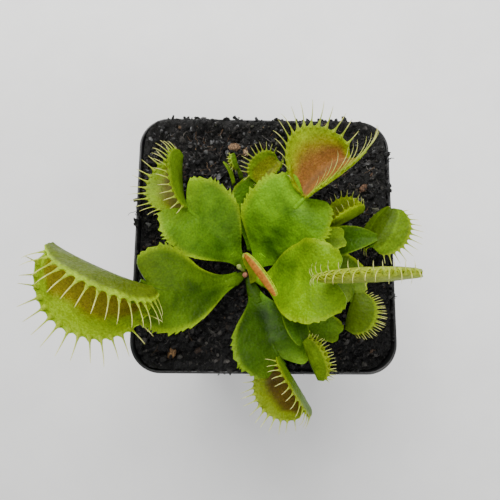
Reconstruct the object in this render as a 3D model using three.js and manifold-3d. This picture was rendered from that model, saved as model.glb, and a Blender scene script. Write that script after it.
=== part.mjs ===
// A Venus flytrap growing in a square plastic pot. Millimetres, +Z up.
// The origin is the centre of the pot's flat underside; -Y is the side nearest the viewer.
// Leaf heights are measured from the pot's rim, and every leaf stands in its own hole in the peat.
import * as THREE from 'three';
import { mergeVertices } from 'three/addons/utils/BufferGeometryUtils.js';
import Module from 'manifold-3d';

const wasm = await Module();
wasm.setup();

// ---------------------------------------------------------------- driving dimensions
const POT = {
  width: 80, height: 74, base: 58, corner: 9.5, baseCorner: 7, cornerSteps: 5,
  wall: 0.9, floor: 1.6, band: 6, proud: 1.2, ledge: 0.6, drain: 3,
};
const PEAT = { depth: 4, gap: 0.3, lump: 0.5, lumpSize: 3.1, crumbSize: 1.7, rings: 11, sideSteps: 7 };
// The peat's top: it rises to the walls and most to the back wall, and has three wide hollows.
const HEAP = { walls: 1.2, wallsFrom: 0.65, back: 1.8, backFrom: 0.55, backTo: 0.95 };
const HOLLOWS = [
  { x: -5.6, y: -9.4, flat: 6, wide: 16, deep: 0.8 },
  { x: 36, y: -36, flat: 4, wide: 26, deep: 1.6 },
  { x: -38, y: 2, flat: 3, wide: 18, deep: 1.4 },
];
const ROOT = { depth: 12, straight: [-12, -8, -4.6, -2.4], clear: 0.55 }; // heights from the rim
const CROWN = { x: -5.6, y: -9.4, radius: 1.5, clear: 0.35, budFoot: -5.5 };
const BUDS = [{ lean: 24, turn: 150, length: 7.5 }, { lean: 16, turn: 250, length: 4.5 }];

// How a leaf is built: half the width and the thickness of the stalk's foot, the blade's divisions
// along its middle and along its margins, and the radius of the neck under the trap.
const FINE_ROWS = [-1, -0.72, -0.36, 0, 0.36, 0.72, 1];
const LARGE = { foot: 1.5, thick: 1.5, steps: 9, edgeSteps: 14, rows: FINE_ROWS, neck: 1 };
const SMALL = { foot: 1, thick: 1.5, steps: 6, edgeSteps: 8, rows: [-1, -0.5, 0, 0.5, 1], neck: 0.65 };
const TINY = { foot: 1, thick: 1.1, steps: 6, edgeSteps: 6, rows: [-1, 0, 1], neck: 0.65 };
const THIN = { foot: 0.55, thick: 1, steps: 6, edgeSteps: 6, rows: [-1, 0, 1], neck: 0.5 };

// The blade, by shares of its length: how far it turns with its midrib, where its fold is full and
// where the heart-shaped end begins. margin is its thickness at the edge.
const BLADE = {
  margin: 0.7, turning: 0.25, turned: 0.4, window: 0.08, foldPower: 1.6, folded: 0.3, heart: 0.45,
};
const HEART = { corner: 0.13, inner: 0.6, outer: 1.2, notchPower: 1.6, tipPower: 2.6 };
const SERRATION = { height: 0.45, ahead: 0.6 };

// The trap's lobes: they open less at their ends, bulge past the hinge's ends and hang a little between.
const LOBE = {
  thick: 0.7, lead: 14, round: 0.75, ends: 0.75, bulge: 1.14, sag: 0.04, apart: 0.4,
  step: 2.6, inner: 0.7,
};
const REACHES = [0.66, 0.3, 0, -0.3, -0.66];
// A tooth takes a share of the rim, narrows at its waist, and is shortest at the rim's ends.
const TOOTH = {
  share: 0.4, shift: 0.25, waist: 0.55, waistAt: 0.55, fan: 0.85, least: 0.55, bend: 0.3, drawn: 0.4,
};
const NECK = { behind: 2.2, notchShare: 0.4, sink: 0.5, ahead: 3, aheadShare: 0.3, from: 0.85 };
const CHIP = { least: 0.8, spread: 0.35, flat: [1, 0.75, 0.6], turn: 1.9, lift: 0.2, clear: 0.8 };

// Each leaf: where its foot stands in the peat, the line of its midrib up to the notch, the blade's
// greatest width and how far along that lies, and the trap that grows from the notch or from its own
// start. Azimuth is counter-clockwise from +X. roll turns the trap's mouth from straight up to the
// right-hand side of its hinge, open is half the angle between the lobes, and bow bends the whole trap
// to its left. curl bends the teeth of the left and the right lobe inwards. lean lifts the blade's
// right-hand side, and skew draws the right-hand side of its end back.
const LEAVES = [
  {
    name: 'leaf_west', size: LARGE, colour: '#7fa51f', root: [-8.4, -11.4],
    midrib: [[-15, -14.8, 2.5], [-23.5, -16.9, 8], [-32.4, -15.4, 12.4]],
    width: 23.4, widest: 0.73, taper: 1.2, tip: 0.6, notch: 5.5,
    fold: 0.24, serrations: 8, corner: 0.04,
    trap: {
      azimuth: 157.6, elevation: 24, roll: -33,
      length: 27.4, width: 19.8, open: 21, cup: 18.5, bow: 0.08,
    },
    teeth: { count: 16, length: 8.6, curl: [-0.15, 0.2] },
  },
  {
    name: 'leaf_north_west', size: LARGE, colour: '#6f9f28', root: [-7.8, -5.9],
    midrib: [[-12.5, -1.4, 3.4], [-18, 3.6, 7], [-23.1, 7.8, 8.8]],
    width: 22.6, widest: 0.63, taper: 0.9, tip: 0.6, notch: 5.2,
    fold: 0.26, serrations: 8, corner: 0,
    trap: {
      azimuth: 98, elevation: -16.8, roll: -52.6,
      length: 18.5, width: 10.8, open: 40, cup: 18, bow: 0.15, round: 0.95,
    },
    teeth: { count: 14, length: 5.6, curl: [-0.1, 0.2] },
  },
  {
    name: 'leaf_north', size: LARGE, colour: '#6fa31f', root: [-2, -6.6],
    midrib: [[2.4, -0.4, 7], [5.8, 4.8, 12.6], [10.4, 9.8, 14.2]],
    width: 25, widest: 0.58, taper: 0.75, tip: 0.65, notch: 4,
    fold: 0.18, serrations: 8, corner: 0.08,
    trap: {
      azimuth: 40.5, elevation: -9.6, roll: -22.8,
      length: 19.9, width: 14.7, open: 42.8, cup: 15.7, bow: 0.14, round: 0.85,
    },
    teeth: { count: 15, length: 7.4, curl: [-0.2, 0.3] },
  },
  {
    name: 'leaf_east', size: LARGE, colour: '#8db31a', root: [0, -11.9],
    midrib: [[6.6, -12.8, 8.6], [12.4, -13.8, 15.2], [17.5, -13.8, 18]],
    width: 23.1, widest: 0.6, taper: 0.87, tip: 0.66, notch: 4,
    fold: 0.14, skew: -0.8, serrations: 5, sharp: 0.4, corner: 0.09,
    trap: { azimuth: -2, elevation: 48, roll: 2, length: 25.5, width: 12.5, open: 3, cup: 20 },
    teeth: { count: 15, length: 4.2, curl: [0.75, 0.75] },
  },
  {
    name: 'leaf_south', size: LARGE, colour: '#6c9a22', root: [-3, -16],
    midrib: [[-0.2, -23.6, 2.6], [1.4, -30, 4.6], [3.8, -34.7, 5]],
    width: 22, widest: 0.66, taper: 0.9, tip: 0.72, notch: 5.4,
    fold: 0.22, lean: 0.22, skew: 0.7, serrations: 7,
    trap: {
      azimuth: -57.4, elevation: -7.5, roll: 48.5,
      length: 16.8, width: 11.3, open: 40, cup: 18, bow: -0.05,
    },
    teeth: { count: 14, length: 4.8, curl: [0.25, -0.1] },
  },
  {
    name: 'leaf_north_small', size: SMALL, colour: '#6c9c25', root: [-4.4, -2.4],
    midrib: [[-5.2, 5, 0.4], [-5.4, 12, 2.6], [-2.2, 17, 3.6]],
    width: 10.5, widest: 0.65, taper: 1, tip: 0.66, notch: 2.4, fold: 0.2, serrations: 5,
    trap: { azimuth: 46, elevation: 10, roll: -20, length: 9.6, width: 7, open: 42, cup: 14, round: 0.55 },
    teeth: { count: 12, length: 3.8, curl: [-0.1, 0.2] },
  },
  {
    name: 'leaf_north_east', size: SMALL, colour: '#79a62a', root: [1.6, -3.4],
    midrib: [[7.6, 0, 0.6], [13.4, 2.6, 1.4], [20.4, 4, 2]],
    width: 6, widest: 0.6, taper: 1, tip: 0.6, notch: 1, fold: 0.2, serrations: 3,
    trap: { azimuth: 28, elevation: 0, roll: -44, length: 11, width: 7, open: 26, cup: 18 },
    teeth: { count: 10, length: 3, curl: [0.1, 0.3] },
  },
  {
    name: 'leaf_east_stub', size: SMALL, colour: '#86ab2c', root: [3.9, -5.9],
    midrib: [[9.2, -3.4, 5], [15.4, -1.6, 9], [22.4, -0.4, 10]],
    width: 6.5, widest: 0.78, taper: 1.3, tip: 0.8, notch: 0.6, fold: 0.15, serrations: 3,
  },
  {
    name: 'leaf_east_north_east', size: SMALL, colour: '#55872a', root: [5.3, -8.9],
    midrib: [[12, -4.8, 3.2], [21, -1.2, 6], [27, -0.4, 9], [32, -0.4, 10.2]],
    width: 9, widest: 0.55, taper: 1, tip: 0.3, notch: 0.2, fold: 0.15, serrations: 0,
    trap: {
      start: [30.6, -3, 9.2], azimuth: 62, elevation: 4, roll: 140,
      length: 13, width: 8.2, open: 62, cup: 12,
    },
    teeth: { count: 13, length: 3.2, curl: [0.1, 0.1] },
  },
  {
    name: 'leaf_east_lower', size: SMALL, colour: '#5f9140', root: [8.4, -11.6],
    midrib: [[12.4, -10.2, 1.4], [19, -7.8, 1.8], [25, -10.8, 1.6], [26.6, -16, 3]],
    width: 11, widest: 0.68, taper: 1, tip: 0.7, notch: 2, fold: 0.12, serrations: 5,
    trap: { azimuth: -106, elevation: -2, roll: -80, length: 11, width: 8.2, open: 11, cup: 26 },
    teeth: { count: 13, length: 4, curl: [0.2, 0.2] },
  },
  {
    name: 'leaf_south_east', size: SMALL, colour: '#4f8440', root: [7.6, -15.2],
    midrib: [[12, -20.4, 0.2], [16.2, -24.8, 0.2], [22.4, -28.2, 0.3]],
    width: 8.5, widest: 0.65, taper: 1, tip: 0.65, notch: 0.6, fold: 0.14, serrations: 4,
  },
  {
    name: 'leaf_south_inner', size: SMALL, colour: '#6f9c1e', root: [4.9, -17.4],
    midrib: [[6.8, -20.4, 5.4], [8.9, -26.4, 7.8], [10.4, -30.5, 8.7]],
    width: 6.5, widest: 0.65, taper: 1, tip: 0.55, notch: 0.8, fold: 0.25, serrations: 0,
    trap: { azimuth: -68, elevation: 0, roll: -62, length: 11, width: 5, open: 12, cup: 22 },
    teeth: { count: 10, length: 3, curl: [0.2, 0.3] },
  },
  {
    name: 'leaf_centre', size: TINY, colour: '#b8702f', root: [-3.4, -12.6],
    midrib: [[-4, -9.8, 6], [-5.4, -7.8, 11], [-6, -7, 13.5]],
    width: 2.8, widest: 0.65, taper: 1, tip: 0.7, notch: 0.2, fold: 0.2, serrations: 0,
    trap: { azimuth: -54, elevation: 6, roll: -50, length: 13.4, width: 2.1, open: 6, cup: 22 },
  },
  {
    name: 'shoot_left', size: THIN, colour: '#86a838', root: [-9.8, 19],
    midrib: [[-10.4, 21, -1], [-11.4, 23.4, -0.4], [-13.2, 25.6, 0]],
    width: 1.3, widest: 0.4, taper: 1, tip: 0.3, notch: 0.1, fold: 0.2, serrations: 0,
  },
  {
    name: 'shoot_right', size: THIN, colour: '#7ba132', root: [-7.4, 21],
    midrib: [[-7.8, 22, -0.8], [-8.2, 22.8, -0.2], [-8.6, 23.4, 0.2]],
    width: 1.4, widest: 0.5, taper: 1, tip: 0.6, notch: 0.1, fold: 0.2, serrations: 0,
    trap: { azimuth: 108, elevation: 14, roll: -50, length: 4.6, width: 2.6, open: 6, cup: 30 },
    teeth: { count: 5, length: 1.6, curl: [0.1, 0.1] },
  },
];

// Bark chips lying in the peat: place and longest half-width.
const CHIPS = [
  [-10, 31.4, 2], [-6.3, 30.1, 1.6], [32.2, 18.5, 1.5],
  [35.3, 22.6, 1.2], [-27.7, -34.3, 1.7], [34.2, -33.4, 1.5],
];

// ---------------------------------------------------------------- small helpers
const vec = (x, y, z) => new THREE.Vector3(x, y, z);
const radians = THREE.MathUtils.degToRad;
const smooth = THREE.MathUtils.smoothstep;

// A repeatable number from 0 to 1 for a pair of whole numbers.
function chance(i, j) {
  const wave = Math.sin(i * 127.1 + j * 311.7) * 43758.5453;
  return wave - Math.floor(wave);
}

// Smooth noise from -1 to 1, with one cell per unit of x and y.
function noise(x, y) {
  const i = Math.floor(x);
  const j = Math.floor(y);
  const u = smooth(x - i, 0, 1);
  const v = smooth(y - j, 0, 1);
  const low = THREE.MathUtils.lerp(chance(i, j), chance(i + 1, j), u);
  const high = THREE.MathUtils.lerp(chance(i, j + 1), chance(i + 1, j + 1), u);
  return 2 * THREE.MathUtils.lerp(low, high, v) - 1;
}

function solidOf(geometry) {
  geometry.deleteAttribute('normal');
  geometry.deleteAttribute('uv');
  const merged = mergeVertices(geometry, 1e-4);
  return new wasm.Manifold(new wasm.Mesh({
    numProp: 3,
    vertProperties: new Float32Array(merged.attributes.position.array),
    triVerts: new Uint32Array(merged.index.array),
  }));
}

function geometryOf(solid) {
  const mesh = solid.getMesh();
  const geometry = new THREE.BufferGeometry();
  geometry.setAttribute('position', new THREE.BufferAttribute(new Float32Array(mesh.vertProperties), 3));
  geometry.setIndex(new THREE.BufferAttribute(new Uint32Array(mesh.triVerts), 1));
  return geometry;
}

// A closed body from its corners and triangles, turned so that its faces point out.
function closedBody(corners, triangles) {
  let volume = 0;
  const cross = vec(0, 0, 0);
  for (const [a, b, c] of triangles) {
    volume += corners[a].dot(cross.crossVectors(corners[b], corners[c]));
  }
  const ordered = volume > 0 ? triangles : triangles.map(([a, b, c]) => [a, c, b]);
  const geometry = new THREE.BufferGeometry();
  geometry.setAttribute('position', new THREE.Float32BufferAttribute(corners.flatMap((p) => p.toArray()), 3));
  geometry.setIndex(ordered.flat());
  return geometry;
}

// ---------------------------------------------------------------- pot and peat
// One ring of a square with rounded corners; extra points divide each straight side.
function roundedSquare(half, radius, z, sideSteps) {
  const points = [];
  for (let corner = 0; corner < 4; corner += 1) {
    const turn = (corner * Math.PI) / 2;
    const centre = vec(1, 1, 0).multiplyScalar(half - radius).applyAxisAngle(vec(0, 0, 1), turn);
    for (let k = 0; k <= POT.cornerSteps; k += 1) {
      const angle = turn + ((Math.PI / 2) * k) / POT.cornerSteps;
      points.push(vec(centre.x + radius * Math.cos(angle), centre.y + radius * Math.sin(angle), z));
    }
    const from = points[points.length - 1].clone();
    const length = (2 * (half - radius)) / (sideSteps + 1);
    const step = vec(-Math.cos(turn), -Math.sin(turn), 0).multiplyScalar(length);
    for (let k = 1; k <= sideSteps; k += 1) {
      points.push(from.clone().addScaledVector(step, k));
    }
  }
  return points;
}

// A closed body through a list of rings, with a fan from its middle over each end.
function loft(rings) {
  const count = rings[0].length;
  const corners = rings.flat();
  const triangles = [];
  for (let r = 0; r + 1 < rings.length; r += 1) {
    for (let k = 0; k < count; k += 1) {
      const a = r * count + k;
      const b = r * count + ((k + 1) % count);
      triangles.push([a, b, b + count], [a, b + count, a + count]);
    }
  }
  for (const start of [0, corners.length - count]) {
    const ring = corners.slice(start, start + count);
    const middle = corners.length;
    corners.push(ring.reduce((sum, p) => sum.add(p), vec(0, 0, 0)).divideScalar(count));
    for (let k = 0; k < count; k += 1) {
      const here = start + k;
      const next = start + ((k + 1) % count);
      triangles.push(start === 0 ? [middle, next, here] : [middle, here, next]);
    }
  }
  return closedBody(corners, triangles);
}

// The tapered wall stands under a wider, upright rim band.
const SHOULDER = POT.height - POT.band;
const RIM_INSIDE = POT.width / 2 - POT.wall;
const outerHalf = (z) => THREE.MathUtils.lerp(POT.base / 2, POT.width / 2 - POT.proud, z / SHOULDER);
const innerHalf = (z) => outerHalf(z) - POT.wall;
const cornerAt = (z) => THREE.MathUtils.lerp(POT.baseCorner, POT.corner, z / POT.height);

function makePot() {
  const top = POT.width / 2;
  const outside = [
    [POT.base / 2 - 1, 0], [outerHalf(1), 1], [outerHalf(SHOULDER), SHOULDER],
    [top - 0.2, SHOULDER + 0.5], [top, POT.height - 0.4], [top - 0.25, POT.height],
  ];
  const inside = [
    [RIM_INSIDE + 0.2, POT.height], [RIM_INSIDE, POT.height - 0.3], [RIM_INSIDE, SHOULDER + POT.ledge],
    [innerHalf(SHOULDER), SHOULDER - POT.ledge], [innerHalf(POT.floor), POT.floor],
  ];
  const rings = [
    ...outside.map(([half, z]) => roundedSquare(half, cornerAt(z), z, 0)),
    ...inside.map(([half, z]) => roundedSquare(half, cornerAt(z) - POT.wall, z, 0)),
  ];
  let pot = solidOf(loft(rings));
  const slot = new THREE.CylinderGeometry(POT.drain, POT.drain, 3 * POT.floor, 10);
  slot.rotateX(Math.PI / 2);
  const reach = POT.base / 2 - 2.6 * POT.drain;
  for (const x of [-reach, 0, reach]) {
    for (const y of [-reach, 0, reach]) {
      if (x !== 0 || y !== 0) {
        pot = pot.subtract(solidOf(slot.clone().translate(x, y, 0)));
      }
    }
  }
  return geometryOf(pot);
}

// Height of the peat above the rim.
function ground(x, y) {
  const edge = POT.width / 2;
  const walls = HEAP.walls * smooth(Math.hypot(x, y) / edge, HEAP.wallsFrom, 1);
  const back = HEAP.back * smooth(y / edge, HEAP.backFrom, HEAP.backTo);
  const lumps = noise(x / PEAT.lumpSize, y / PEAT.lumpSize);
  const crumbs = noise(x / PEAT.crumbSize + 9, y / PEAT.crumbSize);
  let height = -PEAT.depth + walls + back + PEAT.lump * (lumps + 0.6 * crumbs);
  for (const hollow of HOLLOWS) {
    const away = Math.hypot(x - hollow.x, y - hollow.y);
    height -= hollow.deep * (1 - smooth(away, hollow.flat, hollow.wide));
  }
  return height;
}

function makePeat(cutters) {
  const wallRing = (z, half) => roundedSquare(half, cornerAt(z) - POT.wall, z, PEAT.sideSteps);
  const bottom = POT.floor + PEAT.gap;
  const low = SHOULDER - POT.ledge + PEAT.gap;
  const edge = RIM_INSIDE - PEAT.gap;
  const rings = [
    wallRing(bottom, innerHalf(bottom) - PEAT.gap), wallRing(low, innerHalf(low) - PEAT.gap),
    wallRing(SHOULDER + POT.ledge + PEAT.gap, edge),
  ];
  for (let r = 0; r <= PEAT.rings; r += 1) {
    const share = 1 - r / (PEAT.rings + 1);
    const ring = roundedSquare(edge * share, (POT.corner - POT.wall) * share, 0, PEAT.sideSteps);
    for (const point of ring) {
      point.z = POT.height + ground(point.x, point.y);
    }
    rings.push(ring);
  }
  let peat = solidOf(loft(rings));
  for (const cutter of cutters) {
    peat = peat.subtract(cutter);
  }
  return geometryOf(peat);
}

// ---------------------------------------------------------------- leaves
// Triangles between two rows of points that run side by side; each point lists its place from 0 to 1.
function stitch(rowA, rowB) {
  const faces = [];
  let a = 0;
  let b = 0;
  while (a + 1 < rowA.length || b + 1 < rowB.length) {
    const stepA = a + 1 < rowA.length ? rowA[a + 1].at : Infinity;
    const stepB = b + 1 < rowB.length ? rowB[b + 1].at : Infinity;
    if (stepA <= stepB) {
      faces.push([rowA[a].id, rowA[a + 1].id, rowB[b].id]);
      a += 1;
    } else {
      faces.push([rowA[a].id, rowB[b + 1].id, rowB[b].id]);
      b += 1;
    }
  }
  return faces;
}

// A thin blade from rows of points {at, top, low}. Both faces are divided alike. A point of an outer
// row may carry a tooth {middle, tip}, which grows from the edge between it and the next point.
function blade(rows) {
  const corners = [];
  const triangles = [];
  for (const point of rows.flat()) {
    point.id = corners.length;
    corners.push(point.top, point.low);
  }
  for (let r = 0; r + 1 < rows.length; r += 1) {
    for (const [a, b, c] of stitch(rows[r], rows[r + 1])) {
      triangles.push([a, b, c], [a + 1, c + 1, b + 1]);
    }
  }
  const wall = (a, b) => triangles.push([b, a, a + 1], [b, a + 1, b + 1]);
  const last = rows.length - 1;
  for (let r = 0; r < last; r += 1) {
    wall(rows[r + 1][0].id, rows[r][0].id);
    wall(rows[r][rows[r].length - 1].id, rows[r + 1][rows[r + 1].length - 1].id);
  }
  for (const [row, forward] of [[rows[0], true], [rows[last], false]]) {
    for (let k = 0; k + 1 < row.length; k += 1) {
      const a = forward ? row[k].id : row[k + 1].id;
      const b = forward ? row[k + 1].id : row[k].id;
      if (row[k].tooth) {
        addTooth(corners, triangles, [b, a, a + 1, b + 1], row[k].tooth);
      } else {
        wall(a, b);
      }
    }
  }
  return closedBody(corners, triangles);
}

function addTooth(corners, triangles, base, tooth) {
  const root = base.reduce((sum, i) => sum.add(corners[i]), vec(0, 0, 0)).divideScalar(base.length);
  const ring = base.map((i) => {
    const offset = corners[i].clone().sub(root).multiplyScalar(TOOTH.waist);
    corners.push(tooth.middle.clone().add(offset));
    return corners.length - 1;
  });
  corners.push(tooth.tip);
  const tip = corners.length - 1;
  for (let k = 0; k < base.length; k += 1) {
    const next = (k + 1) % base.length;
    triangles.push([base[k], base[next], ring[next]], [base[k], ring[next], ring[k]]);
    triangles.push([ring[k], ring[next], tip]);
  }
}

const notchPoint = (leaf) => vec(...leaf.midrib[leaf.midrib.length - 1]);
const trapStart = (leaf) => (leaf.trap.start ? vec(...leaf.trap.start) : notchPoint(leaf));

// The midrib's line: straight up out of the peat, and on past the notch by the notch's depth.
function midribCurve(leaf) {
  const foot = ROOT.straight.map((z) => vec(leaf.root[0], leaf.root[1], z));
  const line = leaf.midrib.map((p) => vec(...p));
  const end = notchPoint(leaf);
  const ahead = end.clone().sub(line[line.length - 2]).setLength(leaf.notch);
  return new THREE.CatmullRomCurve3([...foot, ...line, end.add(ahead)], false, 'centripetal');
}

const chordOf = (curve) => curve.getPointAt(1).sub(curve.getPointAt(0)).setZ(0).normalize();

// Half the blade's width; along is 0 where the leaf leaves the peat and 1 at its tip.
function halfWidth(leaf, along) {
  const { foot } = leaf.size;
  const most = leaf.width / 2;
  if (along < leaf.widest) {
    return foot + (most - foot) * smooth(along, 0, leaf.widest) ** leaf.taper;
  }
  const past = (along - leaf.widest) / (1 - leaf.widest);
  return most * (1 - (1 - leaf.tip) * past ** HEART.tipPower);
}

// A blade's point by the share of the midrib's length, the share across it from -1 at the left margin
// to 1 at the right one, and how far a serration stands out there.
function bladePoint(leaf, curve, at, across, serration) {
  const chord = chordOf(curve);
  const sunk = (ROOT.depth + ROOT.straight[3]) / curve.getLength();
  const along = Math.max(0, (at - sunk) / (1 - sunk));
  const heading = curve.getPointAt(Math.min(1, at + BLADE.window));
  heading.sub(curve.getPointAt(Math.max(0, at - BLADE.window))).setZ(0).normalize();
  heading.lerp(chord, 1 - (1 - BLADE.turning) * smooth(along, 0, BLADE.turned)).normalize();
  const side = heading.cross(vec(0, 0, 1)).normalize();
  const tangent = curve.getTangentAt(at);
  const up = side.clone().cross(tangent).normalize();
  const edge = Math.abs(across);
  const half = halfWidth(leaf, along) + serration;
  const fold = leaf.fold * edge ** BLADE.foldPower + (leaf.lean ?? 0) * across;
  const corner = (leaf.corner ?? HEART.corner) * leaf.width * smooth(edge, HEART.inner, HEART.outer);
  const drawn = leaf.notch * (1 - edge) ** HEART.notchPower + corner + (leaf.skew ?? 0) * across;
  const ahead = SERRATION.ahead * serration - drawn * smooth(along, BLADE.heart, 1);
  const top = curve.getPointAt(at).addScaledVector(side, across * half);
  top.addScaledVector(up, fold * half * smooth(along, 0, BLADE.folded)).addScaledVector(tangent, ahead);
  const thick = THREE.MathUtils.lerp(leaf.size.thick, BLADE.margin, edge);
  return { at, top, low: top.clone().addScaledVector(up, -thick) };
}

function stalkBlade(leaf) {
  const curve = midribCurve(leaf);
  const height = SERRATION.height * (leaf.sharp ?? 1);
  const rows = leaf.size.rows.map((across) => {
    const outer = Math.abs(across) === 1;
    const inside = leaf.size.steps + Math.ceil(2 * Math.abs(across));
    const steps = outer ? leaf.size.edgeSteps + 2 * leaf.serrations : inside;
    return Array.from({ length: steps + 1 }, (_, k) => {
      const pointed = outer && leaf.serrations > 0 && k % 2 === 1 && k > steps / 2 && k < steps;
      return bladePoint(leaf, curve, k / steps, across, pointed ? height : 0);
    });
  });
  return blade(rows);
}

// The trap in its own frame: hinge along +X from the notch, mouth towards +Z, one lobe on each side.
// turn runs round the rim from the stalk end to the far end; reach is 0 at the hinge and 1 or -1 at a rim.
function lobePoint(trap, turn, reach) {
  const lead = radians(LOBE.lead);
  const angle = THREE.MathUtils.lerp(lead, Math.PI - lead, turn);
  const spread = Math.abs(reach);
  const hinge = (trap.length * (1 - Math.cos(angle) / Math.cos(lead))) / 2;
  const rim = (trap.length * (1 - LOBE.bulge * Math.cos(angle))) / 2;
  const depth = trap.width * Math.sin(angle) ** (trap.round ?? LOBE.round);
  const open = radians(trap.open) * THREE.MathUtils.lerp(LOBE.ends, 1, Math.sin(angle));
  const cup = radians(trap.cup);
  const bend = open + cup - 2 * cup * spread;
  const curved = (depth * (Math.cos(bend) - Math.cos(open + cup))) / (2 * cup);
  const y = Math.hypot(curved, LOBE.apart);
  const z = (depth * (Math.sin(open + cup) - Math.sin(bend))) / (2 * cup);
  const sag = LOBE.sag * trap.length * Math.sin(Math.PI * turn) * (1 - spread);
  const bow = (trap.bow ?? 0) * trap.length * Math.sin(Math.PI * turn);
  return vec(THREE.MathUtils.lerp(hinge, rim, spread), Math.sign(reach) * y + bow, z - sag);
}

function trapFrame(leaf) {
  const { azimuth, elevation, roll } = leaf.trap;
  const ahead = vec(1, 0, 0).applyAxisAngle(vec(0, 1, 0), -radians(elevation));
  ahead.applyAxisAngle(vec(0, 0, 1), radians(azimuth));
  const right = ahead.clone().cross(vec(0, 0, 1)).normalize();
  const mouth = right.clone().cross(ahead).applyAxisAngle(ahead, radians(roll));
  const axes = new THREE.Matrix4().makeBasis(ahead, mouth.clone().cross(ahead), mouth);
  return axes.setPosition(trapStart(leaf));
}

// A point of a lobe with the lobe's thickness, and the directions along the rim and out of it.
function lobePlace(trap, turn, reach) {
  const small = 1e-3;
  const point = lobePoint(trap, turn, reach);
  const alongRim = lobePoint(trap, turn + small, reach).sub(lobePoint(trap, turn - small, reach)).normalize();
  const out = vec(0, 0, 0);
  const inward = vec(0, 0, 1);
  if (reach !== 0) {
    out.subVectors(point, lobePoint(trap, turn, reach * (1 - small))).normalize();
    inward.crossVectors(alongRim, out).multiplyScalar(Math.sign(reach)).normalize();
  }
  const top = point.clone().addScaledVector(inward, LOBE.thick / 2);
  const low = point.clone().addScaledVector(inward, -LOBE.thick / 2);
  return { at: turn, point, alongRim, out, inward, top, low };
}

// A tooth from the rim at the share `centre` round it: it leaves the rim squarely and curls.
function toothAt({ trap, teeth }, centre, sign) {
  const { point, alongRim, out, inward } = lobePlace(trap, centre, sign);
  const size = THREE.MathUtils.lerp(TOOTH.least, 1, Math.sqrt(Math.sin(Math.PI * centre)));
  const length = teeth.length * size;
  const curl = sign > 0 ? teeth.curl[0] : teeth.curl[1];
  const away = out.addScaledVector(alongRim, -TOOTH.fan * out.dot(alongRim)).normalize();
  const reach = (far, bend) => point.clone().addScaledVector(away, far).addScaledVector(inward, bend);
  return {
    middle: reach(TOOTH.waistAt * length, TOOTH.bend * curl * length),
    tip: reach((1 - TOOTH.drawn * Math.abs(curl)) * length, curl * length),
  };
}

// The rim's points: each tooth takes a share of the edge, and the teeth of one rim face the gaps of
// the other.
function toothedRim(leaf, sign) {
  const { count } = leaf.teeth;
  const half = TOOTH.share / (2 * count);
  const points = [lobePlace(leaf.trap, 0, sign)];
  for (let k = 0; k < count; k += 1) {
    const centre = (k + 0.5 + sign * TOOTH.shift) / count;
    const from = lobePlace(leaf.trap, centre - half, sign);
    from.tooth = toothAt(leaf, centre, sign);
    points.push(from, lobePlace(leaf.trap, centre + half, sign));
  }
  points.push(lobePlace(leaf.trap, 1, sign));
  return points;
}

function trapBlade(leaf) {
  const { trap } = leaf;
  const row = (reach, steps) => {
    return Array.from({ length: steps + 1 }, (_, k) => lobePlace(trap, k / steps, reach));
  };
  const steps = Math.max(4, Math.round(trap.length / LOBE.step));
  const fewer = Math.ceil(steps * LOBE.inner);
  const rim = (sign) => (leaf.teeth ? toothedRim(leaf, sign) : row(sign, 2 * steps));
  const inner = REACHES.map((reach) => row(reach, Math.abs(reach) > 0.5 ? steps : fewer));
  return blade([rim(1), ...inner, rim(-1)]).applyMatrix4(trapFrame(leaf));
}

// The short neck that joins the stalk's midrib to the hinge.
function neck(leaf) {
  const behind = -NECK.behind - leaf.notch * NECK.notchShare;
  const from = notchPoint(leaf).addScaledVector(midribCurve(leaf).getTangentAt(NECK.from), behind);
  const ahead = vec(Math.min(NECK.ahead, leaf.trap.length * NECK.aheadShare), 0, -0.2);
  const path = new THREE.CatmullRomCurve3([
    from.add(vec(0, 0, -NECK.sink)), trapStart(leaf).add(vec(0, 0, -0.1)),
    ahead.applyMatrix4(trapFrame(leaf)),
  ]);
  const corners = [0, 1, 2, 3, 4, 5].map((k) => {
    return new THREE.Vector2(leaf.size.neck, 0).rotateAround(new THREE.Vector2(), (k * Math.PI) / 3);
  });
  return new THREE.ExtrudeGeometry(new THREE.Shape(corners), { steps: 3, extrudePath: path });
}

function makeLeaf(leaf) {
  let solid = solidOf(stalkBlade(leaf));
  if (leaf.trap) {
    solid = solid.add(solidOf(neck(leaf))).add(solidOf(trapBlade(leaf)));
  }
  return geometryOf(solid);
}

// The plain hole that a leaf's foot stands in.
function rootHole(leaf) {
  const half = (leaf.size.foot + ROOT.clear) * 1.15;
  const thick = (leaf.size.thick / 2 + ROOT.clear) * 1.25;
  const outline = new THREE.Shape();
  outline.absellipse(0, -leaf.size.thick / 2, half, thick, 0, 2 * Math.PI);
  const depth = ROOT.depth + PEAT.depth;
  const hole = new THREE.ExtrudeGeometry(outline, { depth, bevelEnabled: false, curveSegments: 5 });
  const chord = chordOf(midribCurve(leaf));
  hole.rotateZ(Math.atan2(chord.y, chord.x) + Math.PI / 2);
  hole.translate(leaf.root[0], leaf.root[1], POT.height - ROOT.depth - ROOT.clear);
  return solidOf(hole);
}

// ---------------------------------------------------------------- crown and bark chips
// Profiles are [radius, height] pairs turned about the vertical.
function turned(profile, sides) {
  const shape = new THREE.LatheGeometry(profile.map(([r, z]) => new THREE.Vector2(r, z)), sides);
  return shape.rotateX(Math.PI / 2);
}

function makeCrown() {
  const { radius } = CROWN;
  const bulb = [
    [0, -13], [0.65 * radius, -12.4], [radius, -10], [0.9 * radius, -6], [0.53 * radius, -4], [0, -3.4],
  ];
  let crown = solidOf(turned(bulb, 10));
  for (const { lean, turn, length } of BUDS) {
    const bud = turned([[0, 0], [0.55, 0.4], [0.5, 0.6 * length], [0.85, 0.8 * length], [0, length]], 6);
    bud.rotateY(radians(lean)).rotateZ(radians(turn)).translate(0, 0, CROWN.budFoot);
    crown = crown.add(solidOf(bud));
  }
  return geometryOf(crown);
}

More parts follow.
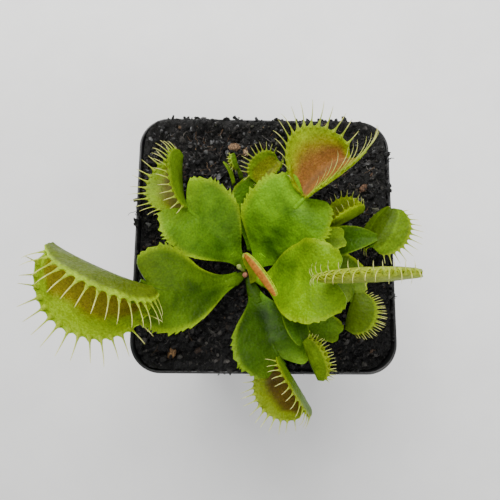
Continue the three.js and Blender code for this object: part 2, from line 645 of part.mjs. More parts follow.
function chipBody(index, radius) {
  const solid = new THREE.IcosahedronGeometry(radius, 0).deleteAttribute('normal').deleteAttribute('uv');
  const geometry = mergeVertices(solid);
  const spot = geometry.attributes.position;
  for (let k = 0; k < spot.count; k += 1) {
    const swell = CHIP.least + CHIP.spread * chance(index, k);
    const [x, y, z] = CHIP.flat.map((share, axis) => spot.getComponent(k, axis) * share * swell);
    spot.setXYZ(k, x, y, z);
  }
  return geometry.rotateZ(index * CHIP.turn);
}

// ---------------------------------------------------------------- assembly
function node(name, geometry, colour, roughness) {
  const material = new THREE.MeshStandardMaterial({ color: colour, roughness, metalness: 0 });
  const mesh = new THREE.Mesh(geometry, material);
  mesh.name = name;
  return mesh;
}

const cutters = LEAVES.map(rootHole);

const plant = new THREE.Group();
plant.position.z = POT.height;
for (const leaf of LEAVES) {
  plant.add(node(leaf.name, makeLeaf(leaf), leaf.colour, 0.5));
}
const crown = node('crown', makeCrown(), '#9db36a', 0.5);
crown.position.set(CROWN.x, CROWN.y, 0);
plant.add(crown);
const hollow = CROWN.radius + CROWN.clear;
const crownHole = turned([[0, -13.4], [hollow, -13.4], [hollow, 3], [0, 3]], 10);
cutters.push(solidOf(crownHole.translate(CROWN.x, CROWN.y, POT.height)));

const chips = new THREE.Group();
CHIPS.forEach(([x, y, radius], index) => {
  const z = POT.height + ground(x, y) + CHIP.lift;
  const chip = node(`bark_chip_${index + 1}`, chipBody(index, radius), '#8a6a48', 0.9);
  chip.position.set(x, y, z);
  chips.add(chip);
  cutters.push(solidOf(chipBody(index, radius + CHIP.clear).translate(x, y, z)));
});

const pot = node('pot', makePot(), '#1b1b1c', 0.45);
const peat = node('soil', makePeat(cutters), '#1d1a18', 0.95);
const flytrap = new THREE.Group().add(pot, peat, plant, chips);

export default flytrap;
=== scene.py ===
"""A potted Venus flytrap. Fine leaves, traps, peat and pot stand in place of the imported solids.

Lengths in the tables are millimetres, as in the solids; MM turns them into Blender's metres.
Leaf heights are measured from the pot's rim. Azimuth is counter-clockwise from +X.
"""
import math

import bmesh
import bpy
import numpy as np
from mathutils import Matrix, Vector


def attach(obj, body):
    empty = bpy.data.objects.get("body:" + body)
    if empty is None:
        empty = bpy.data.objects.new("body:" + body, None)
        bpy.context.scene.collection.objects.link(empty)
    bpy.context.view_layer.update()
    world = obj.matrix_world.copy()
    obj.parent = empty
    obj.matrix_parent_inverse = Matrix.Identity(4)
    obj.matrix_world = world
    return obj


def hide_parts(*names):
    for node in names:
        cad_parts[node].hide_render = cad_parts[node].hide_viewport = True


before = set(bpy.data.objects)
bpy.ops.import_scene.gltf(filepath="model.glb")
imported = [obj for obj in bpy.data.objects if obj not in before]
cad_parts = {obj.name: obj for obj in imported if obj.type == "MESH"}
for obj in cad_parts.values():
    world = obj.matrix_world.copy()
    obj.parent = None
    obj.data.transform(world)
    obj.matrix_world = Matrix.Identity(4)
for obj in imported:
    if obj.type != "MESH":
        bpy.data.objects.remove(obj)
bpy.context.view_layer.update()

MM = 0.001
RANDOM = np.random.default_rng(7)

# ---------------------------------------------------------------- driving dimensions, as in the solids
POT = {
    "width": 80, "height": 74, "base": 58, "corner": 9.5, "base_corner": 7,
    "wall": 0.9, "floor": 1.6, "band": 6, "proud": 1.2, "ledge": 0.6, "drain": 3,
}
# The rim's height, and half the pot's width at the top and at the foot.
RIM, EDGE, FOOT = POT["height"], POT["width"] / 2, POT["base"] / 2
SHOULDER = RIM - POT["band"]
RIM_INSIDE, RIM_MIDDLE = EDGE - POT["wall"], EDGE - POT["wall"] / 2
PEAT = {"depth": 4, "gap": 0.3, "lump": 0.5, "lump_size": 3.1, "crumb_size": 1.7}
HEAP = {"walls": 1.2, "walls_from": 0.65, "back": 1.8, "back_from": 0.55, "back_to": 0.95}
HOLLOWS = [
    {"x": -5.6, "y": -9.4, "flat": 6, "wide": 16, "deep": 0.8},
    {"x": 36, "y": -36, "flat": 4, "wide": 26, "deep": 1.6},
    {"x": -38, "y": 2, "flat": 3, "wide": 18, "deep": 1.4},
]
ROOT_LINE = [-12, -8, -4.6, -2.4]  # heights of the straight foot, from the rim
CROWN = {"x": -5.6, "y": -9.4, "radius": 1.5, "bud_foot": -5.5}
LARGE = {"foot": 2.1, "thick": 1.5, "steps": 132, "columns": 29, "neck": 1.0, "saw": 1.5}
SMALL = {"foot": 1.0, "thick": 1.3, "steps": 84, "columns": 21, "neck": 0.65, "saw": 0.5}
TINY = {"foot": 1.0, "thick": 1.1, "steps": 40, "columns": 13, "neck": 0.65, "saw": 0.5}
THIN = {"foot": 0.55, "thick": 0.9, "steps": 40, "columns": 13, "neck": 0.5, "saw": 0.5}
BLADE = {"turning": 0.25, "turned": 0.4, "window": 0.08, "fold_power": 1.6, "folded": 0.3, "heart": 0.45}
HEART = {"inner": 0.6, "outer": 1.2, "notch_power": 1.6, "tip_power": 2.6}
LOBE = {"thick": 0.55, "lead": 14, "round": 0.75, "ends": 0.75, "bulge": 1.14, "sag": 0.04, "apart": 0.4}
TOOTH = {"shift": 0.25, "fan": 0.85, "least": 0.55, "waist_at": 0.55, "bend": 0.3, "drawn": 0.4}
TOOTH_SIDES, TOOTH_RINGS = 6, 9

# Each leaf: its foot in the peat, its midrib up to the notch, its blade, and the trap that grows from
# the notch or from its own start. roll turns the mouth to the right-hand side of the hinge, open is half
# the angle between the lobes, and bow bends the trap to its left. lean lifts the blade's right-hand side,
# skew draws that side's end back, and paler paints light onto that side, for a side in another leaf's shadow,
# or onto the left-hand side where it is below zero.
# field says how far from the hinge, as a share of the depth, the inner colour fades into the band.
# creased marks a trap seen from behind, with a painted highlight along a crease across its lobe and painted
# shade between that crease and the hinge.
# Teeth have two values each, for the left and the right lobe: curl bends them inwards, sweep leans them
# towards the trap's far end, and first shortens the tooth that grows against the blade.
# colours: blade, blade in painted shade along the midrib and low down, margin, inside of the trap, the band
# round that, outside of the right-hand lobe, and outside of the left-hand lobe where it differs.
PLAIN_LEAF = dict(
    size=SMALL, taper=1, serrations=0, sharp=1, corner=0.13, skew=0, lean=0, painted_light=0,
    field=[0.6, 0.78], painted_crease_light=False,
)
PLAIN_TEETH = dict(sweep=[0, 0], first=[1, 1])
LEAVES = [
    dict(
        name="leaf_west", size=LARGE, root=[-8.4, -11.4],
        colours=["#446002", "#284301", "#7c960c", "#8f8627", "#90ad18", "#566610"],
        midrib=[[-15, -14.8, 2.5], [-23.5, -16.9, 8], [-32.4, -15.4, 12.4]],
        width=23.4, widest=0.73, taper=1.2, tip=0.6, notch=5.5,
        fold=0.24, serrations=8, corner=0.04,
        trap=dict(
            azimuth=157.6, elevation=24, roll=-33,
            length=27.4, width=19.8, open=21, cup=18.5, bow=0.08,
        ),
        teeth=dict(count=16, length=8.6, curl=[-0.15, 0.2]),
    ),
    dict(
        name="leaf_north_west", size=LARGE, root=[-7.8, -5.9], field=[0.45, 0.85],
        colours=["#507507", "#355903", "#88a712", "#525108", "#6d8708", "#587704", "#648006"],
        midrib=[[-12.5, -1.4, 3.4], [-18, 3.6, 7], [-23.1, 7.8, 8.8]],
        width=22.6, widest=0.63, taper=0.9, tip=0.6, notch=5.2,
        fold=0.26, serrations=8, corner=0,
        trap=dict(
            azimuth=98, elevation=-16.8, roll=-52.6,
            length=18.5, width=10.8, open=40, cup=18, bow=0.15, round=0.95,
        ),
        teeth=dict(count=14, length=5.6, curl=[-0.1, 0.2], first=[0.4, 1]),
    ),
    dict(
        name="leaf_north", size=LARGE, root=[-2, -6.6], field=[0.35, 0.95],
        colours=["#68980a", "#274d01", "#8aaa07", "#8c5f2c", "#869c07", "#6b7e07"],
        midrib=[[2.4, -0.4, 7], [5.8, 4.8, 12.6], [10.4, 9.8, 14.2]],
        width=25, widest=0.58, taper=0.75, tip=0.65, notch=4,
        fold=0.18, serrations=8, corner=0.08,
        trap=dict(
            azimuth=40.5, elevation=-9.6, roll=-22.8,
            length=19.9, width=14.7, open=42.8, cup=15.7, bow=0.14, round=0.85,
        ),
        teeth=dict(count=15, length=7.4, curl=[-0.2, 0.3], sweep=[0.15, 1.3]),
    ),
    dict(
        name="leaf_east", size=LARGE, root=[0, -11.9],
        colours=["#6d9302", "#507602", "#88a508", "#808f22", "#95a21e", "#7a8828", "#808d29"],
        midrib=[[6.6, -12.8, 8.6], [12.4, -13.8, 15.2], [17.5, -13.8, 18]],
        width=23.1, widest=0.6, taper=0.87, tip=0.66, notch=4,
        fold=0.14, skew=-0.8, serrations=5, sharp=0.4, corner=0.09,
        trap=dict(azimuth=-2, elevation=48, roll=2, length=25.5, width=12.5, open=3, cup=20),
        teeth=dict(count=15, length=4.2, curl=[0.75, 0.75]),
    ),
    dict(
        name="leaf_south", size=LARGE, root=[-3, -16], field=[0.5, 0.8],
        colours=["#2f4a04", "#182f02", "#6e8b10", "#524307", "#748510", "#3f5a06", "#4e6907"],
        midrib=[[-0.2, -23.6, 2.6], [1.4, -30, 4.6], [3.8, -34.7, 5]],
        width=22, widest=0.66, taper=0.9, tip=0.72, notch=5.4,
        fold=0.22, lean=0.22, skew=0.7, painted_light=-2.2, serrations=7,
        trap=dict(
            azimuth=-57.4, elevation=-7.5, roll=48.5,
            length=16.8, width=11.3, open=40, cup=18, bow=-0.05,
        ),
        teeth=dict(count=14, length=4.8, curl=[0.25, -0.1], first=[1, 0.4]),
    ),
    dict(
        name="leaf_north_small", root=[-4.4, -2.4],
        colours=["#4b7307", "#315404", "#779010", "#7f8720", "#708d0f", "#416006", "#4f6906"],
        midrib=[[-5.2, 5, 0.4], [-5.4, 12, 2.6], [-2.2, 17, 3.6]],
        width=10.5, widest=0.65, tip=0.66, notch=2.4, fold=0.2, serrations=5,
        trap=dict(azimuth=46, elevation=10, roll=-20, length=9.6, width=7, open=42, cup=14, round=0.55),
        teeth=dict(count=12, length=3.8, curl=[-0.1, 0.2]),
    ),
    dict(
        name="leaf_north_east", root=[1.6, -3.4],
        colours=["#557305", "#395603", "#7e930f", "#acbd20", "#a1b815", "#7b980a"],
        midrib=[[7.6, 0, 0.6], [13.4, 2.6, 1.4], [20.4, 4, 2]],
        width=6, widest=0.6, tip=0.6, notch=1, fold=0.2, serrations=3,
        trap=dict(azimuth=28, elevation=0, roll=-44, length=11, width=7, open=26, cup=18),
        teeth=dict(count=10, length=3, curl=[0.1, 0.3]),
    ),
    dict(
        name="leaf_east_stub", root=[3.9, -5.9],
        colours=["#618106", "#476704", "#849b0f"],
        midrib=[[9.2, -3.4, 5], [15.4, -1.6, 9], [22.4, -0.4, 10]],
        width=6.5, widest=0.78, taper=1.3, tip=0.8, notch=0.6, fold=0.15, serrations=3,
    ),
    dict(
        name="leaf_east_north_east", root=[5.3, -8.9], painted_crease_light=True,
        colours=["#3b5e02", "#274802", "#6d8c0b", "#718211", "#7c9311", "#557104"],
        midrib=[[12, -4.8, 3.2], [21, -1.2, 6], [27, -0.4, 9], [32, -0.4, 10.2]],
        width=9, widest=0.55, tip=0.3, notch=0.2, fold=0.15,
        trap=dict(
            start=[30.6, -3, 9.2], azimuth=62, elevation=4, roll=140,
            length=13, width=8.2, open=62, cup=12,
        ),
        teeth=dict(count=13, length=4.6, curl=[0.1, 0.1]),
    ),
    dict(
        name="leaf_east_lower", root=[8.4, -11.6],
        colours=["#47620b", "#344b06", "#92a717", "#718211", "#738a10", "#485e04"],
        midrib=[[12.4, -10.2, 1.4], [19, -7.8, 1.8], [25, -10.8, 1.6], [26.6, -16, 3]],
        width=11, widest=0.68, tip=0.7, notch=2, fold=0.12, serrations=5,
        trap=dict(azimuth=-106, elevation=-2, roll=-80, length=11, width=8.2, open=11, cup=26),
        teeth=dict(count=13, length=4, curl=[0.2, 0.2]),
    ),
    dict(
        name="leaf_south_east", root=[7.6, -15.2],
        colours=["#486809", "#395807", "#788f10"],
        midrib=[[12, -20.4, 0.2], [16.2, -24.8, 0.2], [22.4, -28.2, 0.3]],
        width=8.5, widest=0.65, tip=0.65, notch=0.6, fold=0.14, serrations=4,
    ),
    dict(
        name="leaf_south_inner", root=[4.9, -17.4],
        colours=["#385a07", "#264403", "#688812", "#718211", "#7c8f14", "#556f06"],
        midrib=[[6.8, -20.4, 5.4], [8.9, -26.4, 7.8], [10.4, -30.5, 8.7]],
        width=6.5, widest=0.65, tip=0.55, notch=0.8, fold=0.25,
        trap=dict(azimuth=-68, elevation=0, roll=-62, length=11, width=5, open=12, cup=22),
        teeth=dict(count=10, length=3, curl=[0.2, 0.3]),
    ),
    dict(
        name="leaf_centre", size=TINY, root=[-3.4, -12.6],
        colours=["#7d8c18", "#6a7a15", "#a8a02a", "#af7627", "#95aa18", "#b0702a", "#c07030"],
        midrib=[[-4, -9.8, 6], [-5.4, -7.8, 11], [-6, -7, 13.5]],
        width=2.8, widest=0.65, tip=0.7, notch=0.2, fold=0.2,
        trap=dict(azimuth=-54, elevation=6, roll=-50, length=13.4, width=2.1, open=6, cup=22),
    ),
    dict(
        name="shoot_left", size=THIN, root=[-9.8, 19],
        colours=["#62820f", "#50710c", "#899f1c"],
        midrib=[[-10.4, 21, -1], [-11.4, 23.4, -0.4], [-13.2, 25.6, 0]],
        width=1.3, widest=0.4, tip=0.3, notch=0.1, fold=0.2,
    ),
    dict(
        name="shoot_right", size=THIN, root=[-7.4, 21],
        colours=["#54750c", "#436409", "#7e9317", "#859120", "#889f23", "#4e6d10"],
        midrib=[[-7.8, 22, -0.8], [-8.2, 22.8, -0.2], [-8.6, 23.4, 0.2]],
        width=1.4, widest=0.5, tip=0.6, notch=0.1, fold=0.2,
        trap=dict(azimuth=108, elevation=14, roll=-50, length=4.6, width=2.6, open=6, cup=30),
        teeth=dict(count=5, length=1.6, curl=[0.1, 0.1]),
    ),
]

# Where the trigger hairs stand in a lobe, along it and out from the hinge, and how long they are.
HAIRS = [(0.36, 0.42), (0.5, 0.58), (0.64, 0.42)]
HAIR_LENGTH = 1.9
# Relief of the blade, as a share of its half-width: pillows, waves and dents. In millimetres: depth and
# width of the groove on the midrib, width of the keel below, and the sheet's thickness and loss at the edge.
RELIEF = {"pillow": 0.045, "wave": 0.04, "dent": 0.012, "groove": 0.15, "groove_wide": 0.9}
SHEET = {"keel_wide": 1.1, "thick": 0.62, "thinned": 0.34}
# Relief of a lobe, as a share of its depth; the rim of a shut trap turns inwards, any other outwards.
LOBE_RELIEF = {"bump": 0.012, "flare": -0.018, "shut": 0.045, "fillet": 0.05}
MOTTLED = {"blade": 0.17, "lobe": 0.14}
# Traps longer than BIG_TRAP have finer lobes and, if open by more than OPEN_TRAP degrees, trigger hairs.
# Below SHUT_TRAP degrees the rims turn inwards.
BIG_TRAP, OPEN_TRAP, SHUT_TRAP = 12, 15, 10
# How much brighter a stalk's foot is than its blade.
FOOT_TINT = 1.4
# The height of the skin between two teeth, as a share of trap length over tooth count.
WEB = 0.72
TOOTH_COLOURS = ["#95a62c", "#c9cb78"]
UNDERSIDE, HAIR_COLOUR = "#6d8034", "#6a4a20"
# Leaf skins: name, how strongly the ribs show, and the colour of the gland dots.
SKINS = [
    ("leaf_skin", 0.012, "#5a3a12"), ("young_leaf_skin", 0.09, "#7a2a14"), ("bud_skin", 0.03, "#9a4a3a"),
]
FLESH = {
    "Subsurface Weight": 0.12, "Subsurface Radius": (0.5, 1.0, 0.1), "Subsurface Scale": 0.0012,
    "Specular IOR Level": 0.11,
}

# The rhizome's heights and how wide it is there, as a share of its radius.
RHIZOME = [[-13, 0.3], [-12.4, 0.65], [-10, 1], [-6, 0.9], [-4, 0.53], [-3.4, 0.2]]
RHIZOME_COLOUR = "#7f8458"
# The crown's buds: lean from upright, direction, length, and colour at the foot and at the tip.
BUDS = [[24, 150, 7.5, "#74883a", "#98a456"], [16, 250, 4.5, "#8a5a3c", "#a8705a"]]
# A bud's radius along its length: a spoon end on a thin stalk.
BUD_FORM = [[0, 0.3], [0.08, 0.55], [0.6, 0.46], [0.72, 0.62], [0.84, 0.86], [0.94, 0.6], [1, 0.12]]

# Bark chips lying in the peat: place and longest half-width; their form and the turn between them.
CHIPS = [
    [-10, 31.4, 2], [-6.3, 30.1, 1.6], [32.2, 18.5, 1.5], [35.3, 22.6, 1.2], [-27.7, -34.3, 1.7],
    [34.2, -33.4, 1.5],
]
CHIP_FORM = [1.0, 0.72, 0.55]
CHIP_TURN = 1.9
CHIP_COLOURS = ["#98785a", "#c8a680", "#6e503a", "#5c4636", "#8f6c46", "#5a4636"]

# Peat from black to dusty, bits of moss and root, and the brightest that a grain gets under the painted light
# at the back.
PEAT_DARKS = ["#020202", "#060505", "#211f1d", "#0c0a09", "#53504c"]
PEAT_BROWNS = ["#4a3626", "#6b5138", "#54473a", "#7a6248"]
PALEST_GRAIN = 0.1
GRAINS, FIBRES = 7600, 1300
# Relief of the peat over the ground: heaps over the rim at the back and the sides, clods and fine grains.
BED_RELIEF = {"back": 1.5, "sides": 1.8, "clod": 1.3, "fine": 0.6}
# Painted light: peat colours are scaled up from the front towards the back, in place of the glints of the
# light behind the pot.
BACK_GLINT_PAINT = {"front": 0.65, "gain": 2.2}
BED = {"dark": "#040403", "pale": "#121110", "cells": 190}


# ---------------------------------------------------------------- small helpers
def colour(text):
    """Linear RGB of a #rrggbb colour."""
    values = [int(text[k:k + 2], 16) / 255 for k in (1, 3, 5)]
    return np.array([v / 12.92 if v <= 0.04045 else ((v + 0.055) / 1.055) ** 2.4 for v in values])


def smooth(x, low, high):
    t = np.clip((np.asarray(x, float) - low) / (high - low), 0, 1)
    return t * t * (3 - 2 * t)


def blend(a, b, share):
    """From a to b; a share of any shape gives colours of that shape."""
    share = np.asarray(share, float)[..., None]
    return a * (1 - share) + b * share


def unit(v):
    return v / np.maximum(np.linalg.norm(v, axis=-1, keepdims=True), 1e-9)


def chance(i, j):
    """A repeatable number from 0 to 1 for each pair of whole numbers, as in the solids."""
    wave = np.sin(i * 127.1 + j * 311.7) * 43758.5453
    return wave - np.floor(wave)


def noise(x, y):
    """Smooth noise from -1 to 1, with one cell per unit of x and y, as in the solids."""
    i, j = np.floor(x), np.floor(y)
    u, v = smooth(x - i, 0, 1), smooth(y - j, 0, 1)
    low = chance(i, j) * (1 - u) + chance(i + 1, j) * u
    high = chance(i, j + 1) * (1 - u) + chance(i + 1, j + 1) * u
    return 2 * (low * (1 - v) + high * v) - 1


def rough(x, y, cell, octaves):
    """Noise with finer and finer octaves."""
    return sum(noise(x / cell * 2 ** k + 7.3 * k, y / cell * 2 ** k) / 2 ** k for k in range(octaves))


def add_object(name, data):
    made = bpy.data.objects.new(name, data)
    bpy.context.scene.collection.objects.link(made)
    return made


class Shape:
    """Points, faces and point values of one piece, collected in millimetres."""

    def __init__(self):
        self.points, self.faces, self.values = [], [], []
        self.count = 0

    def add(self, points, faces, tint, rib=0.0, gland=0.0):
        points = np.asarray(points, float).reshape(-1, 3)
        values = np.empty((len(points), 5))
        values[:, :3] = np.reshape(tint, (-1, 3))
        values[:, 3], values[:, 4] = np.ravel(rib), np.ravel(gland)
        self.points.append(points)
        self.values.append(values)
        self.faces += [[i + self.count for i in face] for face in faces]
        self.count += len(points)

    def make(self, name, material, sharp=50):
        mesh = bpy.data.meshes.new(name)
        mesh.from_pydata((np.concatenate(self.points) * MM).tolist(), [], self.faces)
        values = np.concatenate(self.values)
        tints = np.insert(values[:, :3], 3, 1, axis=1)
        mesh.attributes.new("Tint", "FLOAT_COLOR", "POINT").data.foreach_set("color", tints.ravel())
        for attribute, column in (("Rib", 3), ("Gland", 4)):
            data = mesh.attributes.new(attribute, "FLOAT", "POINT").data
            data.foreach_set("value", values[:, column].copy())
        mesh.shade_smooth()
        mesh.set_sharp_from_angle(angle=math.radians(sharp))
        mesh.materials.append(material)
        mesh.validate()
        return add_object(name, mesh)


def ring_faces(rows, count, closed=True):
    """Quads between rows of count points each."""
    last = count if closed else count - 1
    return [
        [r * count + k, r * count + (k + 1) % count, (r + 1) * count + (k + 1) % count, (r + 1) * count + k]
        for r in range(rows - 1) for k in range(last)
    ]


def capped_faces(rows, count):
    """Quads between rings, with the first and the last ring filled."""
    first = list(range(count))
    return ring_faces(rows, count) + [first[::-1], [(rows - 1) * count + k for k in first]]


def add_blade(shape, top, low, tint_top, tint_low, rib, gland_top):
    """A thin closed sheet between two grids of points of the same shape."""
    def around(upper, lower):
        return np.concatenate([upper, lower[:, ::-1]], axis=1)

    rows, columns = top.shape[:2]
    count = 2 * columns
    faces = ring_faces(rows, count)
    for k in range(columns - 1):
        end = (rows - 1) * count
        faces.append([count - 1 - k, count - 2 - k, k + 1, k])
        faces.append([end + k, end + k + 1, end + count - 2 - k, end + count - 1 - k])
    normal = np.cross(top[1, 1] - top[0, 0], top[0, 1] - top[0, 0])
    if normal @ (top[0, 0] - low[0, 0]) > 0:
        faces = [face[::-1] for face in faces]
    glands = around(gland_top, np.zeros_like(gland_top))
    shape.add(around(top, low), faces, around(tint_top, tint_low), around(rib, rib), glands)


def add_tube(shape, line, radii, tint, sides, squash=None):
    """A closed round tube along a line; squash gives a flat direction and how thin it is there."""
    line = np.asarray(line, float)
    ahead = unit(np.gradient(line, axis=0))
    guide = np.array([0.0, 0, 1]) if squash is None else squash[0]
    across = unit(np.cross(ahead, guide))
    other = np.cross(across, ahead)
    thin = 1.0 if squash is None else squash[1]
    turn = np.arange(sides) * 2 * math.pi / sides
    radii = np.asarray(radii, float)[:, None, None]
    ring = across[:, None] * np.cos(turn)[None, :, None] + other[:, None] * thin * np.sin(turn)[None, :, None]
    tint = np.broadcast_to(np.reshape(tint, (-1, 3)), (len(line), 3))
    faces = capped_faces(len(line), sides)
    shape.add(line[:, None] + radii * ring, faces, np.repeat(tint, sides, axis=0))


# ---------------------------------------------------------------- materials
class Look:
    """A material in the making; most methods add a node and give back its output."""

    def __init__(self, name, roughness):
        self.material = bpy.data.materials.new(name)
        self.material.use_nodes = True
        self.tree = self.material.node_tree
        self.shader = self.tree.nodes["Principled BSDF"]
        self.give("Roughness", roughness)

    def give(self, key, value, node=None):
        """Links an input of a node to an output, or sets its value."""
        target = (node or self.shader).inputs[key]
        if isinstance(value, bpy.types.NodeSocket):
            self.tree.links.new(value, target)
        else:
            target.default_value = (*value, 1) if target.type == "RGBA" else value

    def node(self, kind, output, inputs, **settings):
        made = self.tree.nodes.new("ShaderNode" + kind)
        for key, value in settings.items():
            setattr(made, key, value)
        for key, value in inputs.items():
            self.give(key, value, made)
        return made.outputs[output]

    def place(self):
        return self.node("TexCoord", "Object", {})

    def carried(self, name, output="Fac"):
        """A value that the mesh carries at its points."""
        return self.node("Attribute", output, {}, attribute_name=name)

    def grain(self, scale, detail=3.0, rough_share=0.6):
        """Noise in object space, with scale in cells per metre."""
        values = {"Vector": self.place(), "Scale": scale, "Detail": detail, "Roughness": rough_share}
        return self.node("TexNoise", "Fac", values)

    def cells(self, scale, **settings):
        """Distance to the nearest of many scattered points."""
        return self.node("TexVoronoi", "Distance", {"Vector": self.place(), "Scale": scale}, **settings)

    def ranged(self, value, low, high, start=0.3, end=0.7):
        """A value that runs over start to end, mapped to low to high."""
        values = {"Value": value, "From Min": start, "From Max": end, "To Min": low, "To Max": high}
        return self.node("MapRange", "Result", values)

    def speckled(self, scale, low, high, detail=3.0):
        """Grain that swings between low and high."""
        return self.ranged(self.grain(scale, detail), low, high)

    def maths(self, operation, a, b=0.0):
        return self.node("Math", 0, {0: a, 1: b}, operation=operation)

    def product(self, a, b):
        return self.maths("MULTIPLY", a, b)

    def times(self, tint, value):
        """A colour scaled by a value."""
        return self.node("VectorMath", 0, {0: tint, "Scale": value}, operation="SCALE")

    def mixed(self, share, a, b):
        return self.node("Mix", 2, {0: share, 6: a, 7: b}, data_type="RGBA")

    def bumped(self, height, distance, strength=1.0):
        values = {"Height": height, "Distance": distance, "Strength": strength}
        self.give("Normal", self.node("Bump", "Normal", values))


def leaf_material(name, rib_depth, gland_colour):
    """Leaf skin: a fine pebbled grain, faint ribs on the lobes, and gland dots inside the traps."""
    look = Look(name, 0.5)
    coarse = look.speckled(260, 0.87, 1.13, 4.0)
    fine = look.speckled(1900, 0.78, 1.22, 2.0)
    wave = look.maths("SINE", look.product(look.carried("Rib"), 2 * math.pi))
    veins = look.ranged(wave, 1 - rib_depth, 1 + rib_depth, -1, 1)
    dots = look.product(look.ranged(look.cells(2300.0), 0.6, 0.0, 0.12, 0.42), look.carried("Gland"))
    tint = look.times(look.carried("Tint", "Color"), look.product(look.product(coarse, fine), veins))
    look.give("Base Color", look.mixed(dots, tint, colour(gland_colour)))
    look.give("Roughness", look.speckled(900, 0.4, 0.56))
    pebbles = look.maths("SUBTRACT", look.grain(700), look.cells(1250.0, feature="SMOOTH_F1"))
    look.bumped(look.maths("ADD", look.product(wave, 3 * rib_depth), pebbles), 0.0003, 0.6)
    for key, value in FLESH.items():
        look.give(key, value)
    return look.material


def peat_material():
    """Damp peat: dark grains with dull glints."""
    look = Look("peat", 0.6)
    shade = look.product(look.speckled(450, 0.45, 1.6), look.speckled(2400, 0.2, 2.0))
    look.give("Base Color", look.times(look.carried("Tint", "Color"), shade))
    look.give("Roughness", look.speckled(1300, 0.28, 0.7))
    look.bumped(look.grain(1900, 6.0, 0.75), 0.0011)
    return look.material


def bark_material():
    """Rough bark in thin layers."""
    look = Look("bark", 0.8)
    values = {"Vector": look.place(), "Scale": 420.0, "Distortion": 9.0, "Detail": 3.0, "Detail Scale": 2.0}
    layers = look.node("TexWave", "Fac", values)
    shade = look.product(look.ranged(layers, 0.65, 1.25, 0, 1), look.speckled(2600, 0.7, 1.3))
    look.give("Base Color", look.times(look.carried("Tint", "Color"), shade))
    look.bumped(look.maths("ADD", layers, look.grain(3000)), 0.0004)
    return look.material


def pot_material():
    """Black moulded plastic with a soft shine, fine scuffs and a trace of dust."""
    look = Look("pot_plastic", 0.38)
    streaked = look.node("Mapping", 0, {"Vector": look.place(), "Scale": (260.0, 260.0, 30.0)})
    scuffs = look.node("TexNoise", "Fac", {"Vector": streaked, "Scale": 4.0, "Detail": 6.0})
    dust = look.ranged(look.grain(90, 6.0, 0.7), 0.0, 0.12, 0.52, 0.75)
    look.give("Base Color", look.mixed(dust, (0.012, 0.012, 0.013), (0.09, 0.08, 0.07)))
    look.give("Roughness", look.ranged(scuffs, 0.28, 0.46))
    look.bumped(look.grain(1500, 2.0), 0.00004)
    return look.material


# ---------------------------------------------------------------- pot and peat
RIM_FROM = 38  # crumbs further out than this lie on the rim
RIM_STRAIGHT = 30  # half the length of the rim's straight stretches
# Clumps on and near the rim, with their numbers of crumbs.
RIM_CLUMPS = [
    [-RIM_MIDDLE, 8.5, 9], [-RIM_MIDDLE, 11, 8], [-RIM_MIDDLE - 0.4, 5.5, 5], [RIM_MIDDLE, 28, 6],
    [RIM_MIDDLE, 17, 6], [RIM_MIDDLE, -16, 5], [-28, RIM_MIDDLE, 8], [-24, RIM_MIDDLE, 5],
    [-10, -RIM_MIDDLE, 10], [-14, -RIM_MIDDLE, 7], [20, -RIM_MIDDLE, 8], [22.5, -RIM_MIDDLE, 5],
    [27, RIM_MIDDLE, 7], [6, RIM_MIDDLE, 4], [-3, RIM_MIDDLE, 4],
]
# Fine bits along the right, front and left rim, by direction from the middle, and along the back.
RIM_BITS = [((1, 0), 130), ((0, -1), 130), ((-1, 0), 40)]
BACK_BITS = 70
# How far a clump's crumbs are strewn, the share of that on the rim and on the bed, and how far they slip
# inwards from the rim.
CLUMP = {"strewn": 0.9, "rim": 0.5, "bed": 1.4, "inwards": 0.5}
# Tufts of fibres at the rim.
RIM_TUFTS = [
    [27, RIM_MIDDLE - 2], [28.5, RIM_MIDDLE - 1.5], [25.5, RIM_MIDDLE - 2],
    [-RIM_MIDDLE + 1, 10], [-26, RIM_MIDDLE - 1.5], [RIM_MIDDLE - 1.5, 28],
]


def outer_half(z):
    return FOOT + (EDGE - POT["proud"] - FOOT) * z / SHOULDER


def corner_at(z):
    return POT["base_corner"] + (POT["corner"] - POT["base_corner"]) * z / RIM


def rounded_square(half, radius, z, corner_steps=14, side_steps=3):
    """One ring of a square with rounded corners."""
    ring = []
    for corner in range(4):
        turn = corner * math.pi / 2
        c, s = math.cos(turn), math.sin(turn)
        centre = np.array([c - s, s + c]) * (half - radius)
        for k in range(corner_steps + 1):
            angle = turn + math.pi / 2 * k / corner_steps
            ring.append([centre[0] + radius * math.cos(angle), centre[1] + radius * math.sin(angle), z])
        start = ring[-1]
        for k in range(1, side_steps + 1):
            step = 2 * (half - radius) * k / (side_steps + 1)
            ring.append([start[0] - c * step, start[1] - s * step, z])
    return ring


